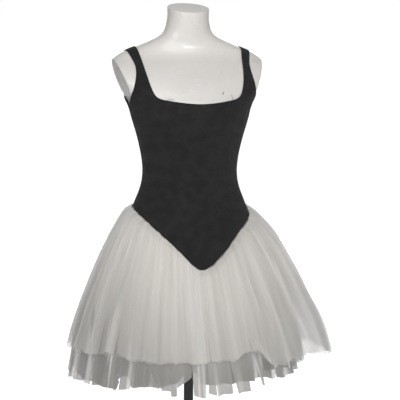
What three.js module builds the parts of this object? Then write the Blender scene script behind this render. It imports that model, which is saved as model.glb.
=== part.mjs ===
import * as THREE from "three";

// A black leotard with a gathered tulle skirt, worn by a white limbless dress form on a plain stand.
// Millimetres. +Z is up, the front faces -Y, and the origin lies under the middle of the base.
// Heights in the tables are measured from the waist, and turns in degrees from the middle of the front.

// Driving dimensions
const WAIST = 700;
const JERSEY = 1.2;
const TULLE = 1.1;
const EASE = 1.6;
const BRIEF_SLACK = 2;
const SEAM = 0.3;
const HALF_SEAM = 0.21;
const LAYER_GAP = 1.4;
const SIDE_REACH = 150;
const SHOULDER_REACH = 45;
const SKIRT_REACH = 300;
const BASE_RADIUS = 150;
const BASE_THICK = 8;
const BASE_ROUND = 3;
const POLE_RADIUS = 12.5;
const POLE_SIDES = 24;
const BASE_SIDES = 48;

// The form's level sections: half width, and how far front and back lie from the axis
const FORM = [
  { z: -200, half: 172, front: 105, back: 122, middle: 0 },
  { z: -150, half: 166, front: 103, back: 117, middle: 0 },
  { z: -114, half: 156, front: 101, back: 111, middle: 0 },
  { z: -88, half: 147, front: 99, back: 105, middle: 0 },
  { z: -39, half: 127, front: 94, back: 92, middle: 0 },
  { z: 0, half: 122, front: 92, back: 88, middle: 0 },
  { z: 34, half: 125, front: 95, back: 89, middle: 0 },
  { z: 73, half: 133, front: 105, back: 93, middle: 0 },
  { z: 106, half: 142, front: 117, back: 97, middle: 0 },
  { z: 143, half: 154, front: 122, back: 100, middle: 1 },
  { z: 178, half: 163, front: 113, back: 102, middle: 3 },
  { z: 196, half: 180, front: 103, back: 103, middle: 6 },
  { z: 215, half: 203, front: 91, back: 104, middle: 10 },
  { z: 240, half: 226, front: 72, back: 104, middle: 16 },
  { z: 262, half: 228, front: 53, back: 102, middle: 23 },
  { z: 276, half: 214, front: 41, back: 98, middle: 28 },
  { z: 287, half: 200, front: 31, back: 94, middle: 31 },
  { z: 298, half: 186, front: 23, back: 89, middle: 33 },
  { z: 309, half: 166, front: 18, back: 85, middle: 33 },
  { z: 320, half: 138, front: 16, back: 82, middle: 33 },
  { z: 334, half: 108, front: 16, back: 82, middle: 32 },
  { z: 348, half: 82, front: 18, back: 82, middle: 31 },
  { z: 360, half: 66, front: 22, back: 82, middle: 30 },
  { z: 375, half: 58, front: 26, back: 81, middle: 28 },
  { z: 395, half: 54.5, front: 29, back: 80, middle: 26 },
  { z: 420, half: 54.5, front: 31, back: 78, middle: 24 },
];
const HIP = -200;
const SEAT_DEPTH = 100;
const SEAT_STEPS = [16, 32, 46, 58, 70, 80];
const FORM_SIDES = 40;
const LONGEST_LEVEL = 34;
const SHOULDER_TOP = { low: 290, high: 345, halvings: 30 };
const PROBE = 0.4;
const NECK_TILT_FROM = 372;
const NECK_TOP = 420;
const NECK_TILT = 0.23;

// The flat faces where the arms would begin lean out from the armpit to the shoulder
const ARM_FACE = { lowZ: 178, lowX: 160, highZ: 290, highX: 200 };

// The pointed waist seam, level behind, with its blunt tip a little to one side
const SEAM_LINE = [
  { turn: -180, z: -88 },
  { turn: -140, z: -88 },
  { turn: -105, z: -90 },
  { turn: -88, z: -95 },
  { turn: -73, z: -104 },
  { turn: -60, z: -117 },
  { turn: -50, z: -130 },
  { turn: -34, z: -159 },
  { turn: -21, z: -190 },
  { turn: -11, z: -219 },
  { turn: -4, z: -238 },
  { turn: 1, z: -246 },
  { turn: 6, z: -246 },
  { turn: 12, z: -234 },
  { turn: 21, z: -207 },
  { turn: 31, z: -178 },
  { turn: 42, z: -151 },
  { turn: 52, z: -136 },
  { turn: 63, z: -124 },
  { turn: 75, z: -114 },
  { turn: 86, z: -102 },
  { turn: 98, z: -93 },
  { turn: 140, z: -88 },
  { turn: 180, z: -88 },
];

// The two sides of the bodice: its neckline, strap and armhole, out from the middle
const FRONT = {
  neck: [
    { x: 0, z: 178 },
    { x: 20, z: 178.6 },
    { x: 42, z: 180.6 },
    { x: 64, z: 183.4 },
    { x: 84, z: 186.4 },
    { x: 98, z: 189 },
    { x: 108, z: 194 },
    { x: 115, z: 203 },
  ],
  strap: [
    { z: 203, inner: 115, outer: 162 },
    { z: 215, inner: 119.5, outer: 161 },
    { z: 242, inner: 126, outer: 155 },
    { z: 270, inner: 130.5, outer: 151 },
    { z: 295, inner: 134, outer: 159 },
    { z: 320, inner: 139, outer: 167 },
  ],
  baseOuterZ: 213,
  armhole: [
    { turn: 68, z: 196 },
    { turn: 79, z: 182 },
  ],
};
const BACK = {
  neck: [
    { x: 0, z: 128 },
    { x: 22, z: 129 },
    { x: 44, z: 133 },
    { x: 64, z: 140 },
    { x: 82, z: 151 },
    { x: 96, z: 165 },
    { x: 106, z: 181 },
    { x: 113, z: 199 },
  ],
  strap: [
    { z: 199, inner: 113, outer: 158 },
    { z: 215, inner: 118, outer: 154 },
    { z: 242, inner: 125, outer: 151 },
    { z: 270, inner: 130.5, outer: 152 },
    { z: 295, inner: 134, outer: 159 },
    { z: 320, inner: 139, outer: 167 },
  ],
  baseOuterZ: 207,
  armhole: [
    { turn: 66, z: 197 },
    { turn: 79, z: 187 },
  ],
};
const UNDERARM = 177;
const BODICE_ROWS = 13;
const STRAP_COLUMNS = 3;
const STRAP_ROWS = 8;

// The leg line of the hidden lower part, which passes beside the pole
const BRIEF_SIDE = -165;
const GUSSET_Z = -287;
const GUSSET = { left: 24, right: 72, columns: 4, rows: 8 };
const LEG_LINE = {
  front: [
    { turn: -90, z: BRIEF_SIDE },
    { turn: -66, z: -200 },
    { turn: -42, z: -238 },
    { turn: -16, z: -268 },
  ],
  back: [
    { turn: -90, z: BRIEF_SIDE },
    { turn: -72, z: -215 },
    { turn: -50, z: -250 },
    { turn: -18, z: -275 },
  ],
  outer: [
    { turn: 74, z: -250 },
    { turn: 82, z: -205 },
    { turn: 90, z: BRIEF_SIDE },
  ],
};
const LEG_COLUMNS = 16;
const OUTER_COLUMNS = 6;
const BRIEF_ROWS = 8;

// How far each tulle layer stands out from the seam at a depth below it, on its four sides
const TOP_FLARE = [
  { depth: 0, left: 0, right: 0, front: 0, back: 0 },
  { depth: 12, left: 19, right: 24, front: 13, back: 19 },
  { depth: 70, left: 56, right: 72, front: 38, back: 58 },
  { depth: 145, left: 92, right: 118, front: 76, back: 100 },
  { depth: 210, left: 117, right: 152, front: 108, back: 132 },
  { depth: 270, left: 141, right: 184, front: 134, back: 158 },
  { depth: 352, left: 167, right: 212, front: 165, back: 185 },
  { depth: 440, left: 190, right: 238, front: 190, back: 205 },
];
const UNDER_FLARE = [
  { depth: 0, left: 0, right: 0, front: 0, back: 0 },
  { depth: 12, left: 12, right: 13, front: 5, back: 12 },
  { depth: 70, left: 46, right: 48, front: 29, back: 46 },
  { depth: 145, left: 80, right: 84, front: 64, back: 84 },
  { depth: 210, left: 104, right: 106, front: 94, back: 110 },
  { depth: 270, left: 126, right: 122, front: 118, back: 132 },
  { depth: 352, left: 149, right: 134, front: 142, back: 154 },
  { depth: 440, left: 161, right: 140, front: 156, back: 168 },
];
const GATHERS = 30;
const GATHER_DEPTH = 10;
const GATHER_FADE = 0.85;
const GATHER_FULL = 350;
const COLUMNS_PER_GATHER = 4;

// Hem heights round each layer
const TOP_HEM = [
  { turn: -180, z: -448 },
  { turn: -120, z: -440 },
  { turn: -80, z: -438 },
  { turn: -30, z: -446 },
  { turn: 15, z: -453 },
  { turn: 60, z: -466 },
  { turn: 95, z: -482 },
  { turn: 130, z: -464 },
  { turn: 180, z: -448 },
];
const UNDER_HEM = [
  { turn: -180, z: -522 },
  { turn: -90, z: -516 },
  { turn: -40, z: -524 },
  { turn: 10, z: -531 },
  { turn: 60, z: -520 },
  { turn: 110, z: -515 },
  { turn: 180, z: -522 },
];
const HEM_RAGGED = 6;
const SHORT_STRIP_EVERY = 3;

// Places where the top hem has a short notch, and where the under layer is slit into strips
const NOTCHES = [-166, -140, -118, -84, -56, -43, -25, 8, 24, 36, 71, 103, 127, 152];
const NOTCH_TURN = 1.6;
const STRIPS = 40;
const SLIT_SHARE = 0.24;
const TOP_STEPS = [1, 0.94, 0.78, 0.6, 0.42, 0.25, 0.11, 0.03, 0];
const UNDER_STEPS = [1, 0.93, 0.85, 0.68, 0.5, 0.32, 0.15, 0.03, 0];

// Finishes
const white = new THREE.MeshStandardMaterial({ color: 0xdcdad8, roughness: 0.25, metalness: 0 });
const black = new THREE.MeshStandardMaterial({ color: 0x2b2b2e, roughness: 0.85, metalness: 0 });
const ivory = new THREE.MeshStandardMaterial({ color: 0xcdc9c2, roughness: 0.8, metalness: 0 });
const steel = new THREE.MeshStandardMaterial({ color: 0x1d1a1a, roughness: 0.45, metalness: 0.6 });

const radians = THREE.MathUtils.degToRad;
const degrees = THREE.MathUtils.radToDeg;

// A column of a table at a place between its rows, on a smooth curve through them
function along(table, key, column, place) {
  const last = table.length - 1;
  const at = THREE.MathUtils.clamp(place, table[0][key], table[last][key]);
  let row = 0;
  while (row < last - 1 && table[row + 1][key] < at) row += 1;
  const slope = (i) => {
    const before = table[Math.max(i - 1, 0)];
    const after = table[Math.min(i + 1, last)];
    return (after[column] - before[column]) / (after[key] - before[key]);
  };
  const from = table[row];
  const to = table[row + 1];
  const step = to[key] - from[key];
  const t = (at - from[key]) / step;
  const rise = t * t * (3 - 2 * t);
  return (
    from[column] * (1 - rise) +
    to[column] * rise +
    slope(row) * step * t * (1 - t) * (1 - t) -
    slope(row + 1) * step * t * t * (1 - t)
  );
}

// The form's section at a height, which closes like a bowl below the hip
function section(z) {
  const level = Math.max(z, HIP);
  const fall = Math.min((HIP - Math.min(z, HIP)) / SEAT_DEPTH, 1);
  const shrink = Math.sqrt(1 - fall * fall);
  return {
    half: along(FORM, "z", "half", level) * shrink,
    front: along(FORM, "z", "front", level) * shrink,
    back: along(FORM, "z", "back", level) * shrink,
    middle: along(FORM, "z", "middle", level) * shrink,
  };
}

// A point on the bare form at a turn and a height
function bare(turn, z) {
  const cut = section(z);
  const angle = radians(turn);
  const ahead = Math.cos(angle);
  const reach = ahead > 0 ? cut.front + cut.middle : cut.back - cut.middle;
  return new THREE.Vector3(cut.half * Math.sin(angle), cut.middle - reach * ahead, WAIST + z);
}

// The outward direction of a surface given by a turn and a height
function outward(surface, turn, z) {
  const across = surface(turn + PROBE, z).sub(surface(turn - PROBE, z));
  const up = surface(turn, z + PROBE).sub(surface(turn, z - PROBE));
  return across.cross(up).normalize();
}

// A point of the form pushed out by a distance
function onForm(turn, z, off) {
  return bare(turn, z).addScaledVector(outward(bare, turn, z), off);
}

// The turn at which the form's section reaches a half width, and the ridge height above it
function turnAt(x, z) {
  return degrees(Math.asin(THREE.MathUtils.clamp(x / section(z).half, -1, 1)));
}
function ridge(x) {
  let low = SHOULDER_TOP.low;
  let high = SHOULDER_TOP.high;
  for (let i = 0; i < SHOULDER_TOP.halvings; i += 1) {
    const z = (low + high) / 2;
    if (section(z).half > x) low = z;
    else high = z;
  }
  return low;
}

// A closed wall between an outer and an inner grid of points, over the cells that are present
function wall(outer, inner, present) {
  const points = [];
  const faces = [];
  const numbers = new Map();
  const number = (grid, name, row, column) => {
    const key = `${name} ${row} ${column}`;
    if (!numbers.has(key)) {
      numbers.set(key, points.length / 3);
      points.push(...grid[row][column].toArray());
    }
    return numbers.get(key);
  };
  const out = (corner) => number(outer, "outer", corner[0], corner[1]);
  const into = (corner) => number(inner, "inner", corner[0], corner[1]);
  const span = (a, b) => {
    const square = (axis) => (points[3 * a + axis] - points[3 * b + axis]) ** 2;
    return square(0) + square(1) + square(2);
  };
  const quad = (a, b, c, d) => {
    if (span(a, c) <= span(b, d)) faces.push(a, b, c, a, c, d);
    else faces.push(a, b, d, b, c, d);
  };
  const rows = outer.length - 1;
  const columns = outer[0].length - 1;
  const filled = (row, column) =>
    row >= 0 && column >= 0 && row < rows && column < columns && present(row, column);
  for (let row = 0; row < rows; row += 1) {
    for (let column = 0; column < columns; column += 1) {
      if (!filled(row, column)) continue;
      const corners = [
        [row, column],
        [row, column + 1],
        [row + 1, column + 1],
        [row + 1, column],
      ];
      quad(...corners.map(out));
      quad(...corners.map(into).reverse());
      const beyond = [
        [row - 1, column],
        [row, column + 1],
        [row + 1, column],
        [row, column - 1],
      ];
      beyond.forEach((cell, side) => {
        if (filled(cell[0], cell[1])) return;
        const p = corners[side];
        const q = corners[(side + 1) % 4];
        quad(out(q), out(p), into(p), into(q));
      });
    }
  }
  const geometry = new THREE.BufferGeometry();
  geometry.setAttribute("position", new THREE.Float32BufferAttribute(points, 3));
  geometry.setIndex(faces);
  geometry.computeVertexNormals();
  return geometry;
}

const everywhere = () => true;

function mesh(name, geometry, material) {
  const made = new THREE.Mesh(geometry, material);
  made.name = name;
  return made;
}

// The limbless form: one smooth body from the closed seat to the slanted face of the neck
function formTorso() {
  const seat = SEAT_STEPS.map((angle) => HIP - SEAT_DEPTH * Math.sin(radians(angle))).reverse();
  const heights = [];
  for (let i = 0; i < FORM.length - 1; i += 1) {
    heights.push(FORM[i].z);
    if (FORM[i + 1].z - FORM[i].z > LONGEST_LEVEL) heights.push((FORM[i].z + FORM[i + 1].z) / 2);
  }
  const levels = [...seat, ...heights, NECK_TOP];
  const slope = (ARM_FACE.highX - ARM_FACE.lowX) / (ARM_FACE.highZ - ARM_FACE.lowZ);
  const points = [];
  const faces = [];
  levels.forEach((z) => {
    const tilt = NECK_TILT * THREE.MathUtils.smoothstep(z, NECK_TILT_FROM, NECK_TOP);
    const limit = z < ARM_FACE.lowZ ? Infinity : ARM_FACE.lowX + slope * (z - ARM_FACE.lowZ);
    for (let side = 0; side < FORM_SIDES; side += 1) {
      const p = bare((side * 360) / FORM_SIDES, z);
      p.x = THREE.MathUtils.clamp(p.x, -limit, limit);
      p.z += tilt * (p.y - section(z).middle);
      points.push(p.x, p.y, p.z);
    }
  });
  for (let level = 0; level < levels.length - 1; level += 1) {
    for (let side = 0; side < FORM_SIDES; side += 1) {
      const a = level * FORM_SIDES + side;
      const b = level * FORM_SIDES + ((side + 1) % FORM_SIDES);
      faces.push(a, b, b + FORM_SIDES, a, b + FORM_SIDES, a + FORM_SIDES);
    }
  }
  const top = (levels.length - 1) * FORM_SIDES;
  for (let side = 1; side < FORM_SIDES - 1; side += 1) {
    faces.push(0, side + 1, side);
    faces.push(top, top + side, top + side + 1);
  }
  const geometry = new THREE.BufferGeometry();
  geometry.setAttribute("position", new THREE.Float32BufferAttribute(points, 3));
  geometry.setIndex(faces);
  geometry.computeVertexNormals();
  return mesh("form_torso", geometry, white);
}

// The upper edge of one half of a bodice panel, from its middle out to the underarm
function upperEdge(cut, seamTurn) {
  const edge = cut.neck.map((p) => ({ turn: turnAt(p.x, p.z), z: p.z }));
  const foot = cut.strap[0];
  for (let i = 1; i <= STRAP_COLUMNS; i += 1) {
    const share = i / STRAP_COLUMNS;
    const x = THREE.MathUtils.lerp(foot.inner, foot.outer, share);
    const z = THREE.MathUtils.lerp(foot.z, cut.baseOuterZ, share);
    edge.push({ turn: turnAt(x, z), z });
  }
  edge.push(...cut.armhole, { turn: seamTurn, z: UNDERARM });
  return edge;
}

// One half strap up to the shoulder seam: its rows climb to the ridge, closer near the top
function strapRow(cut, climb, seamTurn) {
  const row = [];
  for (let i = 0; i <= STRAP_COLUMNS; i += 1) {
    const share = i / STRAP_COLUMNS;
    const footZ = THREE.MathUtils.lerp(cut.strap[0].z, cut.baseOuterZ, share);
    const edgeX = (z) => {
      const inner = along(cut.strap, "z", "inner", z);
      const outer = along(cut.strap, "z", "outer", z);
      return THREE.MathUtils.lerp(inner, outer, share);
    };
    const top = ridge(edgeX(cut.strap.at(-1).z));
    const z = footZ + (top - footZ) * (1 - (1 - climb) * (1 - climb));
    const x = edgeX(z);
    row.push({ turn: climb === 1 ? seamTurn : turnAt(x, z), z });
  }
  return row;
}

// A bodice panel with its straps cut in one: the halves mirror each other, apart from the seam
function bodicePanel(name, cut, behind) {
  const seamTurn = 90 - degrees(HALF_SEAM / SIDE_REACH);
  const ridgeTurn = 90 - degrees(HALF_SEAM / SHOULDER_REACH);
  const upper = upperEdge(cut, seamTurn);
  const neckCells = cut.neck.length - 1;
  const mirror = (half, place) => [...half.slice(1).reverse().map(place(-1)), ...half.map(place(1))];
  const place = (sign) => (p) => {
    const turn = sign * p.turn;
    return { turn: behind ? 180 + turn : turn, z: p.z };
  };
  const rows = [];
  for (let row = 0; row <= BODICE_ROWS; row += 1) {
    const rise = row / BODICE_ROWS;
    const half = upper.map((top, column) => ({ top, low: (seamTurn * column) / (upper.length - 1) }));
    const between = (sign) => ({ top, low }) => {
      const foot = place(sign)({ turn: low, z: 0 });
      const lowZ = seamHeight(foot.turn) + HALF_SEAM;
      const turn = THREE.MathUtils.lerp(low, top.turn, rise);
      return place(sign)({ turn, z: THREE.MathUtils.lerp(lowZ, top.z, rise) });
    };
    rows.push(mirror(half, between));
  }
  for (let row = 1; row <= STRAP_ROWS; row += 1) {
    const strap = strapRow(cut, row / STRAP_ROWS, ridgeTurn);
    const half = upper.map((top, column) => {
      const inStrap = THREE.MathUtils.clamp(column - neckCells, 0, STRAP_COLUMNS);
      return strap[inStrap];
    });
    rows.push(mirror(half, place));
  }
  const middle = upper.length - 1;
  const present = (row, column) => {
    if (row < BODICE_ROWS) return true;
    const fromMiddle = column >= middle ? column - middle : middle - 1 - column;
    return fromMiddle >= neckCells && fromMiddle < neckCells + STRAP_COLUMNS;
  };
  const grid = (off) => rows.map((row) => row.map((p) => onForm(p.turn, p.z, off)));
  return mesh(name, wall(grid(EASE + JERSEY), grid(EASE), present), black);
}

// The height of the pointed waist seam at a turn
function seamHeight(turn) {
  return along(SEAM_LINE, "turn", "z", wrapped(turn));
}

// A place at a share of the way along a line of turns and heights
function partWay(line, share) {
  const lengths = line.slice(1).map((p, i) => Math.hypot(p.turn - line[i].turn, p.z - line[i].z));
  let left = share * lengths.reduce((sum, length) => sum + length, 0);
  let i = 0;
  while (i < lengths.length - 1 && left > lengths[i]) {
    left -= lengths[i];
    i += 1;
  }
  const t = Math.min(left / lengths[i], 1);
  return {
    turn: THREE.MathUtils.lerp(line[i].turn, line[i + 1].turn, t),
    z: THREE.MathUtils.lerp(line[i].z, line[i + 1].z, t),
  };
}

// The plain lower part under the skirt, front or back
function briefPanel(name, legLine, behind) {
  const seamTurn = 90 - degrees(HALF_SEAM / SIDE_REACH);
  const near = turnAt(GUSSET.left, GUSSET_Z);
  const far = turnAt(GUSSET.right, GUSSET_Z);
  const leg = [...legLine, { turn: near, z: GUSSET_Z }];
  const outer = [{ turn: far, z: GUSSET_Z }, ...LEG_LINE.outer];
  const lower = [];
  for (let i = 0; i < LEG_COLUMNS; i += 1) lower.push(partWay(leg, i / LEG_COLUMNS));
  for (let i = 0; i < GUSSET.columns; i += 1) {
    lower.push({ turn: THREE.MathUtils.lerp(near, far, i / GUSSET.columns), z: GUSSET_Z });
  }
  for (let i = 0; i <= OUTER_COLUMNS; i += 1) lower.push(partWay(outer, i / OUTER_COLUMNS));
  const rows = [];
  for (let row = 0; row <= BRIEF_ROWS; row += 1) {
    const rise = row / BRIEF_ROWS;
    const cells = lower.map((low, column) => {
      const top = THREE.MathUtils.lerp(-seamTurn, seamTurn, column / (lower.length - 1));
      const topZ = seamHeight(behind ? 180 - top : top) - HALF_SEAM;
      const turn = THREE.MathUtils.clamp(THREE.MathUtils.lerp(low.turn, top, rise), -seamTurn, seamTurn);
      const slack = BRIEF_SLACK * (1 - rise);
      return { turn: behind ? 180 - turn : turn, z: THREE.MathUtils.lerp(low.z, topZ, rise), slack };
    });
    rows.push(behind ? cells.reverse() : cells);
  }
  const grid = (off) => rows.map((row) => row.map((p) => onForm(p.turn, p.z, off + p.slack)));
  return mesh(name, wall(grid(EASE + JERSEY), grid(EASE), everywhere), black);
}

// The gusset crosses the closed seat from front to back, beside the pole
function gusset() {
  const near = turnAt(GUSSET.left, GUSSET_Z);
  const far = turnAt(GUSSET.right, GUSSET_Z);
  const edge = (turn) => bare(turn, GUSSET_Z);
  const seat = section(HIP);
  const place = (x, y, off) => {
    const depth = y < 0 ? seat.front : seat.back;
    const fall = Math.sqrt(Math.max(1 - (x / seat.half) ** 2 - (y / depth) ** 2, 0));
    const normal = new THREE.Vector3(
      x / seat.half ** 2,
      y / depth ** 2,
      -fall / SEAT_DEPTH,
    ).normalize();
    return new THREE.Vector3(x, y, WAIST + HIP - SEAT_DEPTH * fall).addScaledVector(normal, off);
  };
  const grid = (off) => {
    const rows = [];
    for (let row = 0; row <= GUSSET.rows; row += 1) {
      const cells = [];
      for (let column = 0; column <= GUSSET.columns; column += 1) {
        const turn = THREE.MathUtils.lerp(near, far, column / GUSSET.columns);
        const ahead = edge(turn);
        const behind = edge(180 - turn);
        const y = THREE.MathUtils.lerp(behind.y - SEAM, ahead.y + SEAM, row / GUSSET.rows);
        cells.push(place(ahead.x, y, off));
      }
      rows.push(cells);
    }
    return rows;
  };
  const off = EASE + BRIEF_SLACK;
  return mesh("gusset", wall(grid(off + JERSEY), grid(off), everywhere), black);
}

// Uneven gathers: the wave of a layer at a turn, from -1 in a valley to 1 on a crest
function gather(turn) {
  const drift = 0.35 * Math.sin(radians(turn * 3 + 40)) + 0.25 * Math.sin(radians(turn * 7 - 20));
  const height = 0.8 + 0.2 * Math.sin(radians(turn * 5 + 10));
  return height * Math.sin(radians(turn * GATHERS) + drift);
}

// A point of a tulle layer at a turn and a depth below the seam, at a distance off the form
function tulle(flare, start, turn, depth) {
  const z = seamHeight(turn) - HALF_SEAM;
  const foot = onForm(turn, z, start);
  const away = outward(bare, turn, z).setZ(0).normalize();
  const ahead = Math.cos(radians(turn));
  const aside = Math.sin(radians(turn));
  const sideFlare = along(flare, "depth", aside > 0 ? "right" : "left", depth);
  const frontFlare = along(flare, "depth", ahead > 0 ? "front" : "back", depth);
  const out = sideFlare * aside * aside + frontFlare * ahead * ahead;
  const fold = GATHER_DEPTH * Math.pow(Math.max(depth, 0) / GATHER_FULL, GATHER_FADE) * gather(turn);
  return foot.addScaledVector(away, out + fold).setZ(foot.z - depth);
}

// Half of a tulle layer, whose rows run up from the hem to the seam
function tulleHalf(name, layer, from) {
  const columns = layer.turns.map((turn) => turn + from);
  const surface = (turn, lift) => tulle(layer.flare, layer.start, turn, -lift);
  const grid = (off) =>
    layer.steps.map((step) =>
      columns.map((turn) => {
        const depth = (seamHeight(turn) - layer.hem(turn)) * step;
        const point = tulle(layer.flare, layer.start, turn, depth);
        return point.addScaledVector(outward(surface, turn, -depth), off);
      }),
    );
  const present = (row, column) => layer.present(row, (columns[column] + columns[column + 1]) / 2);
  return mesh(name, wall(grid(TULLE / 2), grid(-TULLE / 2), present), ivory);
}

// A turn brought between -180 and 180
function wrapped(turn) {
  return ((((turn + 180) % 360) + 360) % 360) - 180;
}

// The hem height of a layer, a little ragged
function hemLine(table, phase) {
  return (turn) => {
    const at = wrapped(turn);
    const ragged = Math.sin(radians(at * 17 + phase)) + Math.sin(radians(at * 41 + 2 * phase));
    return along(table, "turn", "z", at) + (HEM_RAGGED * ragged) / 2;
  };
}

// The top layer keeps a nearly whole hem with a few short notches
function topLayer() {
  const count = (GATHERS * COLUMNS_PER_GATHER) / 2;
  const gap = degrees(HALF_SEAM / SKIRT_REACH);
  const turns = [];
  for (let i = 0; i <= count; i += 1) {
    turns.push(THREE.MathUtils.lerp(gap, 180 - gap, i / count));
  }
  return {
    turns,
    flare: TOP_FLARE,
    start: EASE + JERSEY + SEAM + TULLE + LAYER_GAP + TULLE / 2,
    steps: TOP_STEPS,
    hem: hemLine(TOP_HEM, 30),
    present: (row, turn) => row > 0 || !NOTCHES.some((at) => Math.abs(wrapped(turn) - at) < NOTCH_TURN),
  };
}

// The under layer is slit at its hem into strips of uneven length
function underLayer() {
  const strips = STRIPS / 2;
  const gap = degrees(HALF_SEAM / SKIRT_REACH);
  const turns = [];
  for (let i = 0; i < strips; i += 1) {
    const width = (180 - 2 * gap) / strips;
    const slit = width * SLIT_SHARE;
    const begin = gap + i * width;
    turns.push(begin, begin + (width - slit) / 2, begin + width - slit);
  }
  turns.push(180 - gap);
  const count = (turn) => ((wrapped(turn) + 90) / 360) * STRIPS + STRIPS;
  const stripOf = (turn) => Math.floor(count(turn));
  const inSlit = (turn) => count(turn) % 1 > 1 - SLIT_SHARE;
  return {
    turns,
    flare: UNDER_FLARE,
    start: EASE + JERSEY + SEAM + TULLE / 2,
    steps: UNDER_STEPS,
    hem: hemLine(UNDER_HEM, 75),
    present: (row, turn) => {
      const short = stripOf(turn) % SHORT_STRIP_EVERY === 0;
      if (row === 0) return !inSlit(turn) && !short;
      if (row === 1) return !inSlit(turn);
      return true;
    },
  };
}

// The pole stands on the base and carries the form
function pole() {
  const bottom = BASE_THICK + SEAM;
  const top = WAIST + HIP - SEAT_DEPTH * Math.sin(radians(SEAT_STEPS.at(-1))) - SEAM;
  const geometry = new THREE.CylinderGeometry(POLE_RADIUS, POLE_RADIUS, top - bottom, POLE_SIDES);
  geometry.rotateX(Math.PI / 2);
  const made = mesh("stand_pole", geometry, steel);
  made.position.z = (bottom + top) / 2;
  return made;
}

// The round base plate, with its upper edge rounded over
function base() {
  const profile = [
    new THREE.Vector2(0, 0),
    new THREE.Vector2(BASE_RADIUS, 0),
    new THREE.Vector2(BASE_RADIUS, BASE_THICK - BASE_ROUND),
    new THREE.Vector2(BASE_RADIUS - BASE_ROUND * 0.3, BASE_THICK - BASE_ROUND * 0.3),
    new THREE.Vector2(BASE_RADIUS - BASE_ROUND, BASE_THICK),
    new THREE.Vector2(0, BASE_THICK),
  ];
  const geometry = new THREE.LatheGeometry(profile, BASE_SIDES);
  geometry.rotateX(Math.PI / 2);
  return mesh("stand_base", geometry, steel);
}

const group = new THREE.Group();
group.add(base(), pole(), formTorso());
group.add(bodicePanel("bodice_front", FRONT, false));
group.add(bodicePanel("bodice_back", BACK, true));
group.add(briefPanel("brief_front", LEG_LINE.front, false));
group.add(briefPanel("brief_back", LEG_LINE.back, true));
group.add(gusset());
const top = topLayer();
const under = underLayer();
group.add(tulleHalf("tulle_top_front", top, -90));
group.add(tulleHalf("tulle_top_back", top, 90));
group.add(tulleHalf("tulle_under_front", under, -90));
group.add(tulleHalf("tulle_under_back", under, 90));

export default group;
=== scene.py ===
# %% [markdown]
# # A leotard with a tulle skirt, on a limbless dress form
# The real object is a black stretch leotard whose waist seam runs down to a blunt point. Layers of
# off-white tulle are gathered into that seam, and an inner layer, dark with painted shade, hangs under
# them.
# The imported construction gives every place and size. This lesson dresses it: a glossy form, matte
# jersey with soft creases, and net that lets light through.

import math

import bmesh
import bpy
import numpy as np
from mathutils import Matrix, Vector
from mathutils.bvhtree import BVHTree


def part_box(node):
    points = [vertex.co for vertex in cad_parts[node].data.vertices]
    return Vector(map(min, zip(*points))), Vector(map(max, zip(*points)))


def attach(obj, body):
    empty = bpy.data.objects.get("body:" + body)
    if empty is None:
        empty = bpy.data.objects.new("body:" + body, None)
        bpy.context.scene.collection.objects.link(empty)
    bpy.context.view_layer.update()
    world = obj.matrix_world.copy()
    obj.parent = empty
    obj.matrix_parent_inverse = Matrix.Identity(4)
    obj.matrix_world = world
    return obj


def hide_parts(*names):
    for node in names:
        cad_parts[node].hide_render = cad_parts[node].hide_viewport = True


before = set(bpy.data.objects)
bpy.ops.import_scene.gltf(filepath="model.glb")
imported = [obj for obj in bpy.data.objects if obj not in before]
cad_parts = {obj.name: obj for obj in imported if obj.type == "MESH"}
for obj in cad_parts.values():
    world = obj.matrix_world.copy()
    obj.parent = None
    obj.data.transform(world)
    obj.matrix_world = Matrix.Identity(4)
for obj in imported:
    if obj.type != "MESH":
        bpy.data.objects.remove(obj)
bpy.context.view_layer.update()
print("nodes:", sorted(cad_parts))

# %% [markdown]
# ## The camera
# The photograph looks at the form from a little to its right side, nearly level with the neck and
# from several metres away. A long lens at that distance gives the same flat perspective. The camera
# could be placed by eye, but a turn, a height and a distance are easier to correct one at a time.

# %% Camera
WAIST = 0.700
CAMERA_TURN = math.radians(-15.5)
CAMERA_PITCH = math.radians(5.87)
CAMERA_DISTANCE = 4.70
CAMERA_ROLL = math.radians(0.35)
METRES_PER_PIXEL = 0.0026
PHOTO_PIXELS = 400
SENSOR = 36.0
AIM_RIGHT = 0.0272
AIM_HEIGHT = WAIST - 0.077


def add(name, data):
    """A new object in the scene."""
    made = bpy.data.objects.new(name, data)
    bpy.context.scene.collection.objects.link(made)
    return made


def add_camera():
    """A long lens on the line from the photograph's viewpoint, rolled a little."""
    right = Vector((math.cos(CAMERA_TURN), math.sin(CAMERA_TURN), 0))
    level = Vector((math.sin(CAMERA_TURN), -math.cos(CAMERA_TURN), 0))
    back = level * math.cos(CAMERA_PITCH) + Vector((0, 0, math.sin(CAMERA_PITCH)))
    made = add("camera", bpy.data.cameras.new("camera"))
    made.data.sensor_width = SENSOR
    made.data.lens = SENSOR * CAMERA_DISTANCE / (PHOTO_PIXELS * METRES_PER_PIXEL)
    made.location = right * AIM_RIGHT + Vector((0, 0, AIM_HEIGHT)) + back * CAMERA_DISTANCE
    turn = (-back).to_track_quat("-Z", "Y").to_matrix().to_4x4()
    made.rotation_euler = (turn @ Matrix.Rotation(CAMERA_ROLL, 4, "Z")).to_euler()
    bpy.context.scene.camera = made
    return made


camera = add_camera()
print("lens:", round(camera.data.lens, 1), "mm, camera height:", round(camera.location.z, 3), "m")

# %% [markdown]
# ## Floor and light
# The studio is plain: a very wide pale floor and a pale sky that fills the shadows. A small key lamp
# and two large soft ones stand on the camera's side, and one large lamp stands behind. A wall would be
# in the way of the views from behind, so the sky alone closes the picture.

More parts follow.
